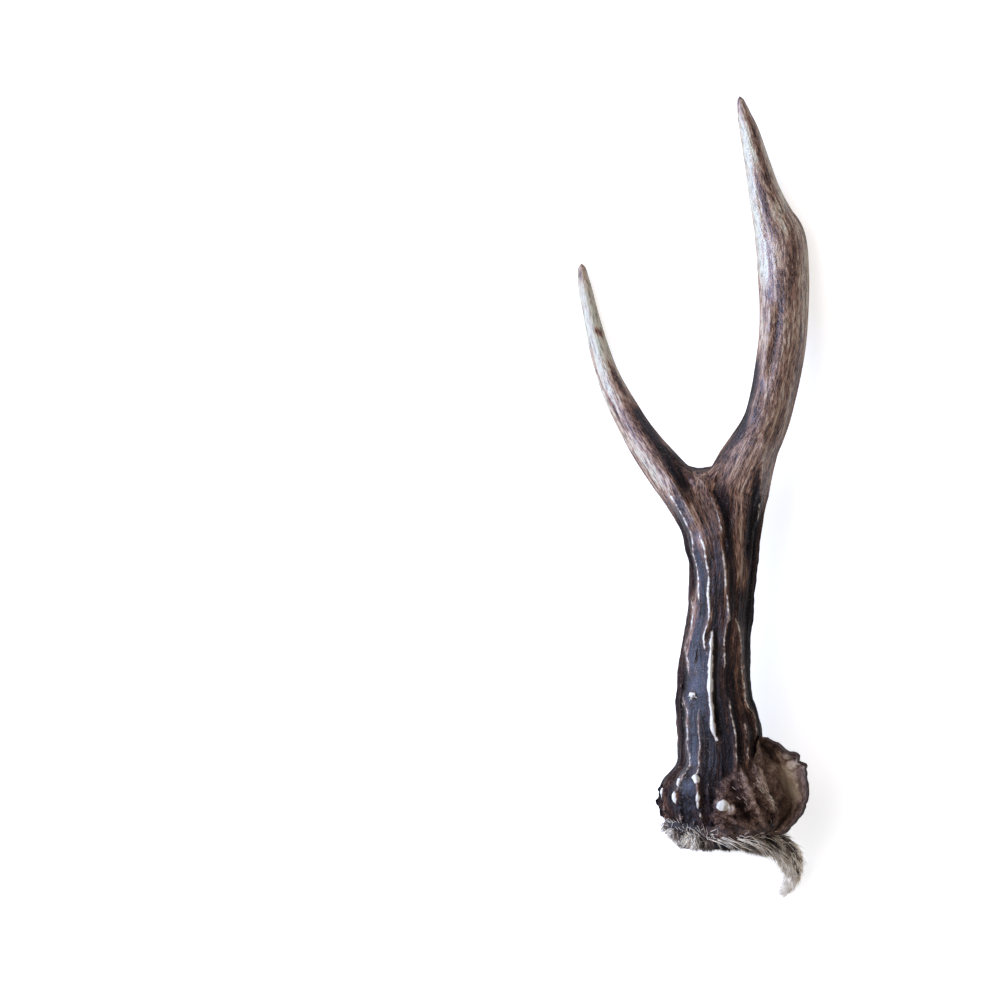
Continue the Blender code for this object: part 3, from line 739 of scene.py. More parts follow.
def hidden_ridges(way, front, girth, rise, white):
    """Raise the ridges of the beam's flanks and underside, which wander along it."""
    random = np.random.default_rng(5)
    run, turn, number = way.T
    on_beam = (1.0 - front) * (number < 0.5)
    for angle in np.linspace(*np.radians(HIDDEN_ARC), HIDDEN_RIDGES):
        swing = random.uniform(0.03, 0.09)
        pace = random.uniform(0.06, 0.14)
        shift = random.uniform(0.0, 6.0)
        first = random.uniform(-92.0, -78.0)
        last = random.uniform(-34.0, 2.0)
        height = random.uniform(0.5, 0.9)
        half_width = random.uniform(1.1, 1.7)
        how_white = random.uniform(0.0, 0.5)
        middle = angle + swing * np.sin(run * pace + shift)
        gap = np.abs((turn - middle + math.pi) % math.tau - math.pi) * girth
        beads = 1.0 + 0.06 * np.sin(run * 0.7 + shift) + 0.05 * np.sin(run * 1.9 - shift)
        ends = smoothstep((run - first) / 6.0) * smoothstep((last - run) / 12.0) * on_beam
        rise += height * beads * np.exp(-gap / half_width) * ends
        rubbed = 1.0 - (gap - 0.25) / LINE_FADE - 0.5 * (1.0 - how_white)
        np.maximum(white, np.clip(rubbed, 0.0, 2.0) * ends, out=white)


def tone_along(way, points):
    """How pale the antler is by nature at each of its points."""
    run, _, number = way.T
    short, long = (np.interp(run, *zip(*tones)) for tones in (SHORT_TONES, LONG_TONES))
    beam = np.interp(points[:, 1], *zip(*BEAM_TONES))
    return np.where(number < 0.5, beam, np.where(number < 1.5, short, long))


def spread_skin(points, front, rise, tone, white):
    """The dried skin over the right of the burr, as a share from 0 to 1, and how far it is rubbed pale."""
    across, along, height = points.T
    ragged = 1.3 * lumps(points, 2.4) + 0.6 * lumps(points + 20.0, 0.9)
    skin = smoothstep((across - np.interp(along, *zip(*SKIN_LEFT)) + ragged) / 5.0 + 0.5)
    skin *= smoothstep((np.interp(across, *zip(*SKIN_TOP)) - along + ragged) / 9.0 + 0.5)
    skin *= smoothstep((height - SKIN_FOOT + ragged) / 2.0)
    wrinkles = wrinkles_of(points)
    white *= 1.0 - skin * smoothstep(np.abs(across - 10.2) - 2.6)
    rise += skin * (0.7 + 0.6 * wrinkles + 0.3 * lumps(points + 35.0, 1.5))
    chafed = 0.10 * wrinkles
    for fold, pale, half_width, line in SKIN_FOLDS:
        found, gap, _, _ = near_line(points[:, :2], line, 2.5 * half_width)
        share = bell(gap, half_width) * front[found]
        rise[found] += fold * share * skin[found]
        chafed[found] += pale * share
    tone += (0.4 - tone) * skin
    return skin, chafed


def roughen_bark(points, grain, on_beam, in_burr, rise):
    """Add furrows and fibres that run with the grain, and the lumps of the beam and the burr."""
    furrows = lumps(grain, 2.6, 9.0)
    rise += on_beam * (0.35 * furrows - 0.35) + (1.0 - on_beam) * 0.14 * furrows
    rise += (0.05 + 0.10 * on_beam) * lumps(grain + 40.0, 0.9, 9.0)
    rise += (0.3 * lumps(points, 6.0) + 0.07 * lumps(grain, 0.8, 1.8)) * on_beam
    rise -= 1.1 * in_burr
    rise += in_burr * (0.5 * lumps(points + 90.0, 2.2) + 0.45 * lumps(points + 95.0, 0.9))


def crumbs_of(points, front, in_burr, skin):
    """The pale crumbs on the bark at the left of the beam, as a share from 0 to 1."""
    across, along, _ = points.T
    crumbs = smoothstep((lumps(points + 55.0, 0.8, 1.8) - 0.34) / 0.15) * front * (1.0 - skin)
    crumbs *= smoothstep((-38.0 - along) / 30.0) * smoothstep((3.0 - across) / 6.0)
    return crumbs * (1.0 - 0.8 * in_burr)


def polish_of(points, normals, on_beam, in_burr, on_short_tine):
    """How glossy the antler is: most where it faces up at the left of the beam, least in burr and fork."""
    across, along, _ = points.T
    in_fork = bell(across - 5.0, 8.0) * bell(along + 2.0, 14.0)
    polish = smoothstep((normals[:, 2] - 0.28 - 0.17 * on_beam) / 0.4)
    polish *= (1.0 - 0.72 * in_burr) * (1.0 - 0.9 * in_fork) * (1.0 - 0.4 * on_short_tine)
    left, right = smoothstep((4.0 - across) / 4.0), smoothstep((across - 4.5) / 5.0)
    polish *= 1.0 + on_beam * (0.65 * left - 0.6 * right)
    polish *= 1.0 - 0.3 * smoothstep((-60.0 - along) / 10.0) * smoothstep((across + 1.0) / 2.0)
    return 0.02 + polish


def make_antler(bark, sawn):
    """The antler with its relief, marked for its material. Gives its points, and the normals that they had
    before the relief."""
    antler = new_piece("antler", antler_form(), bark)
    mesh = antler.data
    mesh.materials.append(sawn)
    for face in mesh.polygons:
        face.material_index = int(face.center.y < BEAM[0][0] + 0.05)
    points, normals = read_vectors(mesh.vertices), read_vectors(mesh.vertex_normals, "vector")
    grain, way = (read_vectors(mesh.attributes[name].data, "vector") for name in ("grain", "way"))
    across, along, _ = points.T
    places = points[:, :2]
    front = smoothstep((normals[:, 2] + 0.05) / 0.3)
    on_beam = smoothstep((BEAM_END - along) / BEAM_FADE)
    in_burr = smoothstep((along - BURR[0]) / 3.0) * smoothstep((BURR[1] - along) / 8.0)
    girth = np.interp(along, *zip(*BEAM_GIRTH))

    tone = tone_along(way, points)
    white, rise, pearls, bared = np.zeros((4, len(points)))
    carve_crests(points, normals, front, rise, tone, white)
    hidden_ridges(way, front, girth, rise, white)
    carve_gutters(places, front, rise, tone)
    roughen_bark(points, grain, on_beam, in_burr, rise)
    grow_pearls(points, normals, pearls, bared)
    skin, chafed = spread_skin(points, front, rise, tone, white)
    crumbs = crumbs_of(points, front, in_burr, skin)
    # the skin hides every pearl but the two big ones
    far = np.hypot(across - BIG_PEARLS[0], along - BIG_PEARLS[1])
    skin *= 1.0 - smoothstep(3.6 - far) * (bared > 0.2)
    seen = 1.0 - smoothstep(far - 4.0) * skin
    rise += pearls * seen
    white = np.maximum(np.maximum(white, bared * seen), 1.12 * crumbs)
    white += 0.35 * lumps(points + 25.0, 0.8, 1.4) * (white > 0.5)
    tone += 0.10 * lumps(grain + 70.0, 4.0, 5.0) - 0.03 * in_burr
    paint_lines(places, front, tone)

    # the relief fades out at the saw cut and at the long tip, and nothing goes below the floor
    rise *= smoothstep((along - BEAM[0][0]) / 1.5) * smoothstep((SMOOTH_TIP - along) / SMOOTH_TIP_FADE)
    points += normals * rise[:, None]
    points[:, 2] = np.maximum(points[:, 2], FLOOR_GAP)
    write_points(mesh, points)
    polish = polish_of(points, normals, on_beam, in_burr, way[:, 2] == 1.0)
    tone = np.clip(tone, 0.0, 1.0)
    for name, values in (
        ("tone", tone), ("white", white), ("skin", skin), ("chafed", chafed), ("polish", polish),
    ):
        write_mark(mesh, name, values)
    mesh.attributes["grain"].data.foreach_set("vector", (grain * MM).astype(np.float32).ravel())
    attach(antler, "root")
    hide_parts("beam", "long_tine", "short_tine")
    return points, normals


# ---- the dried hide ----

def hide_cup_form():
    """The cup of dried hide: a curled, wrinkled sheet, marked with how near it is to its rim."""
    rows = rows_through([(along, *np.ravel(places)) for along, *places in HIDE_CUP], 0.5, 1)
    lines = [smooth_rows(row[1:].reshape(-1, 2), HIDE_STEPS) for row in rows]
    points = np.array([np.insert(line, 1, row[0], axis=1) for row, line in zip(rows, lines)])
    across = np.linspace(0.0, 1.0, points.shape[1])
    along = np.linspace(0.0, 1.0, points.shape[0])[:, None]
    places = np.column_stack([0.0 * along[:, 0], points[:, 0, 1], 0.0 * along[:, 0]])
    ragged = (1.2 * lumps(places, 5.0) + 0.8 * lumps(places + 8.0, 1.7))[:, None]
    ragged = ragged * smoothstep((across - 0.7) / 0.3)
    points[..., 2] += 1.4 * ragged
    points[..., 0] += 0.5 * ragged
    bm = bmesh.new()
    way = bm.verts.layers.float_vector.new("way")
    marks = np.stack(np.broadcast_arrays(along, across, 0.0), axis=-1)
    lay_sheet(bm, points, {way: marks})
    bmesh.ops.recalc_face_normals(bm, faces=bm.faces)
    return bm


def make_hide_cup(hide):
    cup = new_piece("hide_cup", hide_cup_form(), hide)
    mesh = cup.data
    points, normals = read_vectors(mesh.vertices), read_vectors(mesh.vertex_normals, "vector")
    along, across, _ = read_vectors(mesh.attributes["way"].data, "vector").T
    folds = 1.0 - 2.0 * np.abs(lumps(points, 4.2, 1.4))
    rise = 0.8 * folds + 0.35 * lumps(points + 30.0, 1.3) + 0.8 * lumps(points + 60.0, 5.0)
    # painted light and shade: paler in the middle of the cup, with painted shade towards its inner edge,
    # its upper end, its foot and its outer wall, which the lamp lights; the knobs below are paler of their
    # own
    wear_and_painted_light = 0.13 + 0.74 * smoothstep((across - 0.08) / 0.40) * smoothstep((along - 0.10) / 0.25)
    wear_and_painted_light *= 1.0 - 0.75 * smoothstep((along - 0.50) / 0.35)
    wear_and_painted_light *= 1.0 - 0.80 * smoothstep((across - 0.52) / 0.26)
    for x, y, size in HIDE_KNOBS:
        far = np.hypot(points[:, 0] - x, points[:, 1] - y) / size
        ring = np.clip(1.0 - far**2, 0.0, 1.0) * (0.35 + 0.65 * smoothstep(far * 2.0)) * (across > 0.45)
        rise += 1.6 * ring
        wear_and_painted_light += 0.8 * ring
    # painted shade in the crease of the fold
    found, gap, _, _ = near_line(points[:, :2], HIDE_CREASE, 3.0)
    share = bell(gap, 1.2) * (across[found] < 0.9)
    rise[found] -= 0.7 * share
    wear_and_painted_light[found] -= 0.45 * share
    write_points(mesh, points + normals * rise[:, None])
    write_mark(mesh, "rim", across)
    write_mark(mesh, "wear_and_painted_light", wear_and_painted_light)
    wall = cup.modifiers.new("thickness", "SOLIDIFY")
    wall.thickness = HIDE_THICKNESS * MM
    wall.offset = 0.0
    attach(cup, "root")
    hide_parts("hide_flap")


# ---- the fur ----

def collar_radius(along):
    """How far the collar's outside lies from its middle."""
    return np.interp(along, *zip(*reversed(COLLAR_OUTSIDE)))


def make_pelt_skin(skin):
    """The skin under the fur: a collar turned round the pedicle and the strip that trails from it."""
    bm = bmesh.new()
    loop = smooth_rows(COLLAR + COLLAR[:1], [4] * len(COLLAR))
    turn = math.tau * np.arange(COLLAR_SIDES + 1) / COLLAR_SIDES
    points = np.stack([
        COLLAR_MIDDLE[0] + loop[:, 1:] * np.sin(turn), loop[:, :1] + 0.0 * turn,
        COLLAR_MIDDLE[1] + loop[:, 1:] * np.cos(turn),
    ], axis=-1)
    lay_sheet(bm, points, {})
    rows = rows_through(STRIP, 0.4, 3)
    lay_sheet(bm, tube_points(rows, math.tau * np.arange(STRIP_SIDES + 1) / STRIP_SIDES), {})
    bmesh.ops.remove_doubles(bm, verts=bm.verts, dist=WELD)
    bmesh.ops.holes_fill(bm, edges=[edge for edge in bm.edges if edge.is_boundary], sides=0)
    bmesh.ops.recalc_face_normals(bm, faces=bm.faces)
    pelt = new_piece("pelt_skin", bm, skin)
    points, normals = read_vectors(pelt.data.vertices), read_vectors(pelt.data.vertex_normals, "vector")
    wrinkles = wrinkles_of(points)
    rise = 0.4 * wrinkles + 0.4 * lumps(points, 2.4) + 0.25 * lumps(points + 50.0, 1.0) - 0.3
    on_left = smoothstep((5.0 - points[:, 0]) / 6.0) * smoothstep((points[:, 2] - 22.0) / 4.0)
    chafed = 0.12 * wrinkles + 0.16 * lumps(points + 12.0, 1.4)
    chafed -= (0.40 + 0.25 * lumps(points + 17.0, 0.9)) * on_left
    write_points(pelt.data, points + normals * rise[:, None])
    write_mark(pelt.data, "chafed", chafed)
    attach(pelt, "root")
    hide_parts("pelt")


def strand_template():
    """A closed three-sided strand along Z: its corners as (x, y, share of its length) and its faces."""
    bm = bmesh.new()
    bmesh.ops.create_cone(bm, cap_ends=True, segments=3, radius1=1.0, radius2=1.0, depth=1.0)
    for height in (-0.25, 0.0, 0.25):
        whole = bm.verts[:] + bm.edges[:] + bm.faces[:]
        bmesh.ops.bisect_plane(bm, geom=whole, plane_co=(0.0, 0.0, height), plane_no=(0.0, 0.0, 1.0))
    bm.verts.index_update()
    corners = np.array([vert.co for vert in bm.verts]) + (0.0, 0.0, 0.5)
    faces = [[vert.index for vert in face.verts] for face in bm.faces]
    bm.free()
    return corners, faces


def grow_strands(name, roots, ways, bends, lengths, widths, shades, hair):
    """One mesh of tapered strands: each sets off from its root along its way and bends as it goes."""
    corners, faces = strand_template()
    share = corners[:, 2]
    ways, bends, along = unit(ways)[:, None], bends[:, None], share[:, None]
    middle = roots[:, None] + lengths[:, None, None] * (ways * along + bends * along**2)
    heading = unit(ways + 2.0 * bends * along)
    side = unit(np.cross(heading, HAIR_SIDE))
    other = np.cross(heading, side)
    radius = 0.5 * widths[:, None] * (1.0 - HAIR_TAPER * share**2)
    out = side * (corners[:, 0] * radius)[..., None] + other * (corners[:, 1] * radius)[..., None]
    points = middle + out
    points[..., 2] = np.maximum(points[..., 2], 0.1 + 0.3 * radius)
    firsts = len(corners) * np.arange(len(roots))
    mesh = bpy.data.meshes.new(name)
    mesh.from_pydata((points.reshape(-1, 3) * MM).tolist(), [], [
        [first + corner for corner in face] for first in firsts.tolist() for face in faces
    ])
    mesh.materials.append(hair)
    mesh.shade_smooth()
    write_mark(mesh, "shade", np.repeat(shades, len(corners)) + 0.22 * np.tile(share, len(roots)))
    strands = bpy.data.objects.new(name, mesh)
    bpy.context.collection.objects.link(strands)
    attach(strands, "root")


def gather_tufts(random, roots, size, contrast):
    """Gather hairs in tufts: each hair's step to the middle of its tuft, its lean and how pale it is."""
    uneven = roots + 0.8 * lumps(roots + 41.0, 1.5)[:, None]
    _, tuft = np.unique(np.floor(uneven / size), axis=0, return_inverse=True)
    tuft = tuft.ravel()
    hairs = np.bincount(tuft)
    middle = np.stack([np.bincount(tuft, column) / hairs for column in roots.T], axis=1)
    leans = random.normal(0.0, 0.18, (len(hairs), 3))[tuft] + random.normal(0.0, 0.06, roots.shape)
    kinds = random.choice(3, len(hairs), p=(0.46, 0.18, 0.36))
    shades = 0.45 + contrast * np.array((-0.5, 0.0, 0.5))[kinds][tuft]
    shades += random.uniform(-0.12, 0.12, len(roots))
    return middle[tuft] - roots, leans, shades


def sway_of(roots, size):
    """A smooth push to all sides, which changes from tuft to tuft of about that size."""
    return np.stack([lumps(roots + shift, size) for shift in (0.0, 11.0, 23.0)], axis=1)


def make_collar_fur(hair):
    random = np.random.default_rng(21)
    for name, first, last, count in COLLAR_FUR:
        turn = random.uniform(first, last, count)
        out = np.stack([np.sin(turn), 0.0 * turn, np.cos(turn)], axis=1)
        above = out[:, 2] > 0.0
        top = np.interp(COLLAR_MIDDLE[0] + COLLAR_REACH * out[:, 0], *zip(*FUR_TOP))
        along = random.uniform(COLLAR_ROOTS[0], np.where(above, top, COLLAR_ROOTS[1]), count)
        roots = (COLLAR_MIDDLE[0], 0.0, COLLAR_MIDDLE[1]) + out * (collar_radius(along) - 0.4)[:, None]
        roots[:, 1] = along
        across = roots[:, 0]
        sway = sway_of(roots, 1.8)
        inward, leans, shades = gather_tufts(random, roots, 0.5, 0.75)
        # on the left the hair is short and stands out, and to the right it is swept towards the strip
        short = (smoothstep((4.0 - across) / 5.0) * (out[:, 2] > -0.3))[:, None]
        ways = out * (random.uniform(0.0, 0.55, (count, 1)) + 0.3 * short) + leans * (1.0 + 1.3 * short)
        ways += (0.5 + 0.4 * short) * sway + 0.22 * inward * (1.0 - short)
        ways[:, 1] -= 1.0
        ways[:, 0] += (0.7 * smoothstep((across - 2.0) / 16.0) + 0.15) * above
        ways = unit(ways)
        bends = random.normal(0.0, 0.10, (count, 3)) - 0.22 * out + (0.0, -0.08, -0.06)
        edge = np.interp(across, *zip(*FUR_EDGE)) + random.uniform(-0.5, 1.2, count) + 1.2 * sway[:, 0]
        lengths = (along - edge) / np.maximum(0.45, -ways[:, 1] - bends[:, 1])
        lengths = np.clip(lengths * random.uniform(0.7, 1.05, count), 1.2, 8.0 - 4.4 * short[:, 0])
        shades += 0.01 + 0.3 * lumps(roots + 31.0, 1.8) + 0.12 * short[:, 0]
        under_strands = smoothstep((across + 1.5) / 8.5) * smoothstep((26.0 - across) / 9.0)
        shades -= 0.60 * under_strands * smoothstep((along + 113.6) / 1.6) * above
        grow_strands(name, roots, ways, bends, lengths, 0.20 + 0.12 * shades, shades, hair)


def make_strip_fur(hair):
    random = np.random.default_rng(22)
    rows = rows_through(STRIP, 0.2, 3)
    turn = random.uniform(0.0, math.tau, STRIP_HAIRS)
    place = random.integers(0, len(rows), STRIP_HAIRS)
    way, side, upward = (vectors[place] for vectors in frame_along(rows[:, :3]))
    here = rows[place]
    offset = side * (here[:, 3] * np.cos(turn))[:, None] + upward * (here[:, 4] * np.sin(turn))[:, None]
    out = unit(offset)
    roots = here[:, :3] + 0.85 * offset
    left = 1.0 - place / len(rows)  # share of the strip from there to its end
    sway = sway_of(roots, 1.6)
    lengths = random.uniform(2.2, 4.2, STRIP_HAIRS) + 3.6 * left * random.uniform(0.2, 1.0, STRIP_HAIRS)
    inward, leans, shades = gather_tufts(random, roots, 0.75, 0.95)
    ways = way + out * random.uniform(0.0, 0.22, STRIP_HAIRS)[:, None] + leans + 0.9 * sway + 0.25 * inward
    bends = random.normal(0.0, 0.08, (STRIP_HAIRS, 3)) - 0.2 * out
    bends += np.array((-0.05, -0.3, -0.2)) * left[:, None]
    shades += 0.3 * lumps(roots + 31.0, 1.6)
    shades += 0.44 + 0.52 * (1.0 - left) - 0.62 * np.clip(out[:, 0] + 0.3, 0.0, 1.0) * left
    grow_strands("strip_fur", roots, ways, bends, lengths, 0.22 + 0.12 * shades, shades, hair)


def make_stray_hairs(points, normals, hair):
    """The loose hairs that stand out over the burr and the fur, in the groups that STRAYS lists."""
    random = np.random.default_rng(23)
    roots, ways, bends, lengths, shades = [], [], [], [], []
    for count, first, last, scatter, way, spread, bend, shortest, longest, shade in STRAYS:
        share = random.uniform(0.0, 1.0, (count, 1))
        spots = np.array(first) + (np.array(last) - first) * share + random.normal(0.0, scatter, (count, 2))
        for across, along in spots:
            if along > FUR_START:
                roots.append(front_point(points, normals, across, along))
                continue
            reach = collar_radius(along) - 0.3
            lean = min(0.97, max(-0.97, (across - COLLAR_MIDDLE[0]) / reach))
            height = reach * math.sqrt(1.0 - lean * lean)
            roots.append(np.array((COLLAR_MIDDLE[0] + reach * lean, along, COLLAR_MIDDLE[1] + height)))
        ways.append(np.array(way) + random.normal(0.0, spread, (count, 3)) * (1.0, 1.0, 0.5))
        bends.append(np.array(bend) + random.normal(0.0, 0.08, (count, 3)))
        lengths.append(random.uniform(shortest, longest, count))
        own_shades = shade + random.uniform(-0.15, 0.15, count)
        shades.append(own_shades - 0.6 * (random.uniform(0.0, 1.0, count) < 0.15))
    lengths = np.concatenate(lengths)
    grow_strands("stray_hairs", np.array(roots), np.concatenate(ways), np.concatenate(bends), lengths,
                 random.uniform(0.18, 0.28, len(lengths)), np.concatenate(shades), hair)


# ---- materials ----

UNDER, OVER = 6, 7  # the numbers of a colour mix's two colour sockets


def colour(code):
    """An sRGB hex colour as the linear one that a shader takes."""
    shares = [int(code[k:k + 2], 16) / 255.0 for k in (1, 3, 5)]
    return (*[c / 12.92 if c <= 0.04045 else ((c + 0.055) / 1.055) ** 2.4 for c in shares], 1.0)


def plug(tree, node, sockets):
    """Give a node's sockets, by name or number, another node's output, a hex colour or a plain value."""
    for name, value in sockets.items():
        if isinstance(value, bpy.types.NodeSocket):
            tree.links.new(value, node.inputs[name])
        else:
            node.inputs[name].default_value = colour(value) if isinstance(value, str) else value


def add(tree, kind, sockets, out=None, stops=(), **settings):
    """Add a node, with colour stops if it has any. Gives the output named, or else its first in use."""
    node = tree.nodes.new("ShaderNode" + kind)
    for name, value in settings.items():
        setattr(node, name, value)
    plug(tree, node, sockets)
    for _ in stops[2:]:
        node.color_ramp.elements.new(0.5)
    if stops:
        for element, (place, shade) in zip(node.color_ramp.elements, stops):
            element.position = place
            element.color = colour(shade) if isinstance(shade, str) else shade
    return node.outputs[out] if out else next(output for output in node.outputs if output.enabled)


def new_material(name):
    material = bpy.data.materials.new(name)
    material.use_nodes = True
    return material, material.node_tree, material.node_tree.nodes["Principled BSDF"]


def aged_skin(tree, place, chafed):
    """The colour of the dried skin on the burr and under the fur, paler where it is chafed."""
    blotch = add(tree, "TexNoise", {"Vector": place, "Scale": 1 / (1.8 * MM), "Detail": 5.0})
    grit = add(tree, "TexNoise", {"Vector": place, "Scale": 1 / (0.5 * MM), "Detail": 2.0})
    aged = add(tree, "Math", {0: blotch, 1: 0.6, 2: chafed}, operation="MULTIPLY_ADD")
    aged = add(tree, "Math", {0: grit, 1: 0.42, 2: aged}, operation="MULTIPLY_ADD")
    return add(tree, "ValToRGB", {"Fac": aged}, stops=(
        (0.36, "#181010"), (0.53, "#3a2a25"), (0.70, "#6d584e"), (0.89, "#a18c7d"),
    ))


def streaky_tone(tree, tone, fibre, streak):
    """How pale the bark is: its tone, with streaks that fade where it is black or ivory."""
    drift = add(tree, "Math", {0: fibre, 1: 1.1, 2: -1.11}, operation="MULTIPLY_ADD")
    drift = add(tree, "Math", {0: streak, 1: 1.2, 2: drift}, operation="MULTIPLY_ADD")
    even = add(tree, "MapRange", {"Value": tone, "From Min": 0.10, "From Max": 0.28, "To Min": 0.5})
    drift = add(tree, "Math", {0: drift, 1: even}, operation="MULTIPLY")
    calm = add(tree, "MapRange", {"Value": tone, "From Min": 0.55, "From Max": 0.90, "To Min": 1.0,
                                  "To Max": 0.6})
    return add(tree, "Math", {0: drift, 1: calm, 2: tone}, operation="MULTIPLY_ADD")


def thread_net(tree, tone, bare, fine, cells):
    """A net of tan threads along the edges of long cells: not on black bark, and faint on ivory."""
    warp = add(tree, "TexNoise", {"Vector": fine, "Scale": 0.6}, "Color")
    cells = add(tree, "VectorMath", {0: warp, 1: (1.2, 1.2, 1.2), 2: cells}, operation="MULTIPLY_ADD")
    cells = add(tree, "TexVoronoi", {"Vector": cells, "Scale": 1.0}, feature="DISTANCE_TO_EDGE")
    thread = add(tree, "MapRange", {"Value": cells, "From Min": 0.20, "From Max": 0.06})
    held = add(tree, "MapRange", {"Value": tone, "From Min": 0.16, "From Max": 0.36, "To Max": 0.32})
    held = add(tree, "Math", {0: held, 1: bare}, operation="MULTIPLY")
    return add(tree, "Math", {0: thread, 1: held}, operation="MULTIPLY")


def dark_strokes(tree, tone, strokes):
    """Short dark strokes along the grain: not on black bark, and faint on ivory."""
    strokes = add(tree, "TexNoise", {"Vector": strokes, "Scale": 1.0, "Detail": 1.5})
    strokes = add(tree, "MapRange", {"Value": strokes, "From Min": 0.53, "From Max": 0.62, "To Max": 0.60})
    inked = add(tree, "MapRange", {"Value": tone, "From Min": 0.20, "From Max": 0.40})
    strokes = add(tree, "Math", {0: strokes, 1: inked}, operation="MULTIPLY")
    faint = add(tree, "MapRange", {"Value": tone, "From Min": 0.75, "To Min": 1.0, "To Max": 0.45})
    return add(tree, "Math", {0: strokes, 1: faint}, operation="MULTIPLY")


def antler_gloss(tree, tone, toned, hide, polish):
    """Its roughness and shine: glossier the paler it is and where it faces up, and matt on dried skin."""
    rough = add(tree, "MapRange", {"Value": toned, "From Min": 0.2, "From Max": 0.8, "To Min": 0.40,
                                   "To Max": 0.22})
    rough = add(tree, "Math", {0: hide, 1: 0.25, 2: rough}, operation="MULTIPLY_ADD")
    shine = add(tree, "MapRange", {"Value": tone, "From Min": 0.3, "From Max": 0.8, "To Min": 0.33,
                                   "To Max": 0.80})
    shine = add(tree, "Math", {0: shine, 1: polish}, operation="MULTIPLY")
    matt = add(tree, "MapRange", {"Value": hide, "To Min": 1.0, "To Max": 0.35})
    return rough, add(tree, "Math", {0: shine, 1: matt}, operation="MULTIPLY")


def rubbed_antler():
    """Rubbed and stained antler: black-brown bark under a net of tan threads, ivory where polished."""
    material, tree, shader = new_material("rubbed antler")
    place = add(tree, "TexCoord", {}, "Object")
    grain = add(tree, "Attribute", {}, "Vector", attribute_name="grain")
    tone, white, hide, chafed, polish = (
        add(tree, "Attribute", {}, "Fac", attribute_name=name)
        for name in ("tone", "white", "skin", "chafed", "polish")
    )
    # the grain pulled straight, for patterns of those widths and lengths in millimetres
    fine, coarse, cells, strokes = (
        add(tree, "Mapping", {"Vector": grain, "Location": shift,
                              "Scale": (1 / (width * MM), 1 / (length * MM), 1 / (width * MM))})
        for width, length, shift in (
            (0.45, 3.0, (0.0, 0.0, 0.0)), (1.1, 16.0, (0.0, 0.0, 0.0)), (0.8, 3.0, (0.0, 0.0, 0.0)),
            (0.5, 3.6, (3.0, 5.0, 7.0)),
        )
    )
    fibre = add(tree, "TexNoise", {"Vector": fine, "Scale": 1.0, "Detail": 3.0, "Distortion": 0.4})
    streak = add(tree, "TexNoise", {"Vector": coarse, "Scale": 1.0, "Detail": 4.0})
    grit = add(tree, "TexNoise", {"Vector": place, "Scale": 1 / (0.6 * MM), "Detail": 2.0})

    toned = streaky_tone(tree, tone, fibre, streak)
    bark = add(tree, "ValToRGB", {"Fac": toned}, stops=(
        (0.05, "#070405"), (0.20, "#1a1112"), (0.33, "#34211b"), (0.42, "#4e3225"), (0.56, "#795b4a"),
        (0.72, "#a18b75"), (0.95, "#aba893"),
    ))

    # on the bark, from the bottom up: threads, strokes and flecks of grit, crests and pearls rubbed tan at
    # their edges and bared to white on top, and the dried skin
    bare = add(tree, "MapRange", {"Value": tone, "From Min": 0.70, "From Max": 0.42, "To Min": 0.15})
    net = thread_net(tree, tone, bare, fine, cells)
    strokes = dark_strokes(tree, tone, strokes)
    fleck = add(tree, "MapRange", {"Value": grit, "From Min": 0.60, "From Max": 0.74, "To Max": 0.3})
    # here the mark is wear alone: how far the crests and pearls are rubbed
    wear_and_painted_light = add(tree, "Math", {0: fibre, 1: 0.3, 2: white}, operation="MULTIPLY_ADD")
    wear_and_painted_light = add(tree, "Math", {0: grit, 1: 0.5, 2: wear_and_painted_light}, operation="MULTIPLY_ADD")
    rubbed = add(tree, "MapRange", {"Value": wear_and_painted_light, "From Min": 1.28, "From Max": 1.55})
    bared = add(tree, "MapRange", {"Value": wear_and_painted_light, "From Min": 1.52, "From Max": 1.72})
    laid = add(tree, "MapRange", {"Value": hide, "From Min": 0.2, "From Max": 0.5})
    for share, over in (
        (net, "#9e7d68"), (strokes, "#24160f"), (fleck, "#87715f"), (rubbed, "#847265"), (bared, "#c9c6bd"),
        (laid, aged_skin(tree, place, chafed)),
    ):
        bark = add(tree, "Mix", {0: share, UNDER: bark, OVER: over}, data_type="RGBA")

    rough, shine = antler_gloss(tree, tone, toned, hide, polish)
    # a painted blue cast on the reflections of the darker bark, standing in for the blue of the window
    # light
    sheen = add(tree, "Mix", {0: bare, UNDER: "#ffffff", OVER: "#edf1ff"}, data_type="RGBA")
    relief = add(tree, "Math", {0: grit, 1: 1.2, 2: fibre}, operation="MULTIPLY_ADD")
    plug(tree, shader, {
        "Base Color": bark,
        "Roughness": rough,
        "Specular IOR Level": shine,
        "Specular Tint": sheen,
        "Normal": add(tree, "Bump", {"Height": relief, "Distance": 0.25 * MM, "Strength": 0.8}),
    })
    return material


def sawn_bone():
    """Bone across a saw cut: a pale dense ring around a brown, porous core."""
    material, tree, shader = new_material("sawn bone")
    along, _, across, _, height, _ = BEAM[0]
    middle = (across * MM, along * MM, height * MM)
    place = add(tree, "TexCoord", {}, "Object")
    far = add(tree, "VectorMath", {0: place, 1: middle}, operation="DISTANCE")
    pores = add(tree, "TexVoronoi", {"Vector": place, "Scale": 1 / (0.9 * MM)}, feature="DISTANCE_TO_EDGE")
    walls = add(tree, "MapRange", {"Value": pores, "From Max": 0.25})
    core = add(tree, "Mix", {0: walls, UNDER: "#b59a78", OVER: "#3a2419"}, data_type="RGBA")
    ring = add(tree, "MapRange", {"Value": far, "From Min": 7.2 * MM, "From Max": 8.4 * MM})
    plug(tree, shader, {
        "Base Color": add(tree, "Mix", {0: ring, UNDER: core, OVER: "#cdbb9d"}, data_type="RGBA"),
        "Roughness": 0.75,
        "Normal": add(tree, "Bump", {"Height": pores, "Distance": 0.4 * MM, "Strength": 0.7}),
    })
    return material


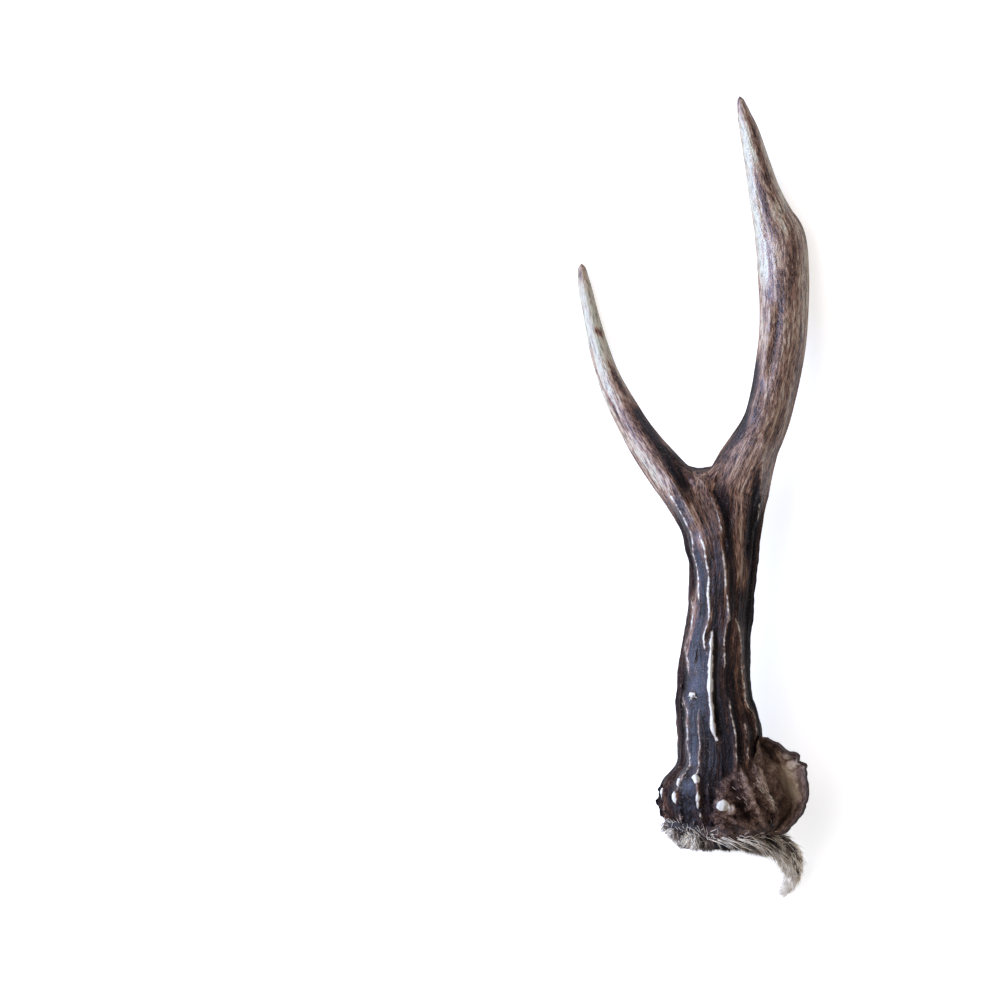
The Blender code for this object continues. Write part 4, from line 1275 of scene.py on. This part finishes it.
def dried_hide():
    """Dried hide: dark brown, cracked and matt, greyish tan where its mark is high: on the cup, painted
    light in the middle and painted shade at its edges, its ends and its crease.
    """
    material, tree, shader = new_material("dried hide")
    rim, wear_and_painted_light = (add(tree, "Attribute", {}, "Fac", attribute_name=name) for name in ("rim", "wear_and_painted_light"))
    place = add(tree, "TexCoord", {}, "Object")
    blotch = add(tree, "TexNoise", {"Vector": place, "Scale": 1 / (3.2 * MM), "Detail": 6.0})
    grit = add(tree, "TexNoise", {"Vector": place, "Scale": 1 / (0.8 * MM), "Detail": 4.0})
    crease = add(tree, "TexVoronoi", {"Vector": place, "Scale": 1 / (2.2 * MM)}, feature="DISTANCE_TO_EDGE")
    tone = add(tree, "Math", {0: blotch, 1: 0.8, 2: wear_and_painted_light}, operation="MULTIPLY_ADD")
    tone = add(tree, "Math", {0: grit, 1: 0.7, 2: tone}, operation="MULTIPLY_ADD")
    tone = add(tree, "Math", {0: tone, 1: 0.37}, operation="SUBTRACT")
    skin = add(tree, "ValToRGB", {"Fac": tone}, stops=(
        (0.30, "#2b1d17"), (0.52, "#523d31"), (0.76, "#7a6556"), (1.0, "#9e8b77"),
    ))
    edge = add(tree, "MapRange", {"Value": rim, "From Min": 0.97, "From Max": 0.99})
    relief = add(tree, "Math", {0: crease, 1: 0.6, 2: grit}, operation="MULTIPLY_ADD")
    plug(tree, shader, {
        "Base Color": add(tree, "Mix", {0: edge, UNDER: skin, OVER: "#33231b"}, data_type="RGBA"),
        "Roughness": 0.62,
        "Specular IOR Level": 0.35,
        "Normal": add(tree, "Bump", {"Height": relief, "Distance": 0.4 * MM, "Strength": 0.7}),
    })
    return material


def fur_skin():
    """Skin under the fur: dark grey-brown, seen only between the hairs."""
    material, tree, shader = new_material("fur skin")
    place = add(tree, "TexCoord", {}, "Object")
    grit = add(tree, "TexNoise", {"Vector": place, "Scale": 1 / (0.7 * MM), "Detail": 4.0})
    plug(tree, shader, {
        "Base Color": aged_skin(tree, place, add(tree, "Attribute", {}, "Fac", attribute_name="chafed")),
        "Roughness": 0.85,
        "Normal": add(tree, "Bump", {"Height": grit, "Distance": 0.3 * MM, "Strength": 0.8}),
    })
    return material


def deer_hair():
    """Deer hair: coarse, straight and dull, each hair its own shade of grey-brown to cream."""
    material, tree, shader = new_material("deer hair")
    shade = add(tree, "Attribute", {}, "Fac", attribute_name="shade")
    plug(tree, shader, {
        "Base Color": add(tree, "ValToRGB", {"Fac": shade}, stops=(
            (0.05, "#16100d"), (0.35, "#625347"), (0.65, "#b3a18e"), (0.95, "#f4ebdb"),
        )),
        "Roughness": 0.5,
        "Specular IOR Level": 0.3,
    })
    return material


# ---- the room ----

PICTURE_MIDDLE = (-62.1, -2.1, 20.0)  # what the camera looks straight down at
PICTURE_WIDTH = 320.0
CAMERA_HEIGHT = 4000.0  # over that point
SENSOR = 36.0
FLOOR_RADIUS = 6000.0


def make_camera():
    data = bpy.data.cameras.new("camera")
    data.sensor_width = SENSOR
    data.lens = SENSOR * CAMERA_HEIGHT / PICTURE_WIDTH
    data.clip_end = 20.0
    camera = bpy.data.objects.new("camera", data)
    bpy.context.collection.objects.link(camera)
    camera.location = (Vector(PICTURE_MIDDLE) + Vector((0.0, 0.0, CAMERA_HEIGHT))) * MM
    bpy.context.scene.camera = camera


def make_lamp(name, place, size, power, shade):
    """A square soft light, aimed at the antler. Place and size are in metres."""
    data = bpy.data.lights.new(name, "AREA")
    data.size = size
    data.energy = power
    data.color = colour(shade)[:3]
    lamp = bpy.data.objects.new(name, data)
    bpy.context.collection.objects.link(lamp)
    lamp.location = place
    lamp.rotation_euler = (-Vector(place)).to_track_quat("-Z", "Y").to_euler()


def make_room():
    """The floor, whose pale paint glows a little so that it stays near white, and the light of the room."""
    bm = bmesh.new()
    bmesh.ops.create_circle(bm, cap_ends=True, radius=FLOOR_RADIUS, segments=64)
    material, tree, shader = new_material("pale floor paint")
    plug(tree, shader, {
        "Base Color": "#dadada", "Roughness": 0.9, "Emission Color": "#ffffff", "Emission Strength": 0.7,
    })
    floor = new_piece("floor", bm, material)
    write_points(floor.data, read_vectors(floor.data.vertices))
    world = bpy.data.worlds.new("room")
    world.use_nodes = True
    bpy.context.scene.world = world
    tree = world.node_tree
    way = add(tree, "TexCoord", {}, "Generated")
    to_left = add(tree, "VectorMath", {0: way, 1: (-1.0, 0.1, 0.0)}, operation="DOT_PRODUCT")
    to_left = add(tree, "MapRange", {"Value": to_left, "From Min": -1.0})
    sky = add(tree, "ValToRGB", {"Fac": to_left}, stops=(
        (0.0, (0.46, 0.40, 0.36, 1.0)), (0.55, (0.12, 0.12, 0.12, 1.0)), (0.72, (0.6, 0.7, 0.95, 1.0)),
        (0.95, (1.2, 1.6, 2.6, 1.0)),
    ))
    plug(tree, tree.nodes["Background"], {"Color": sky, "Strength": 1.0})
    make_lamp("window", (-1.05, 0.33, 1.25), 1.7, 31.0, "#fff3e6")
    make_lamp("low_window", (-1.6, 0.45, 0.8), 1.0, 35.0, "#90baff")
    bpy.context.scene.view_settings.view_transform = "Standard"


def main():
    make_camera()
    make_room()
    points, normals = make_antler(rubbed_antler(), sawn_bone())
    make_hide_cup(dried_hide())
    make_pelt_skin(fur_skin())
    hair = deer_hair()
    make_collar_fur(hair)
    make_strip_fur(hair)
    make_stray_hairs(points, normals, hair)


main()
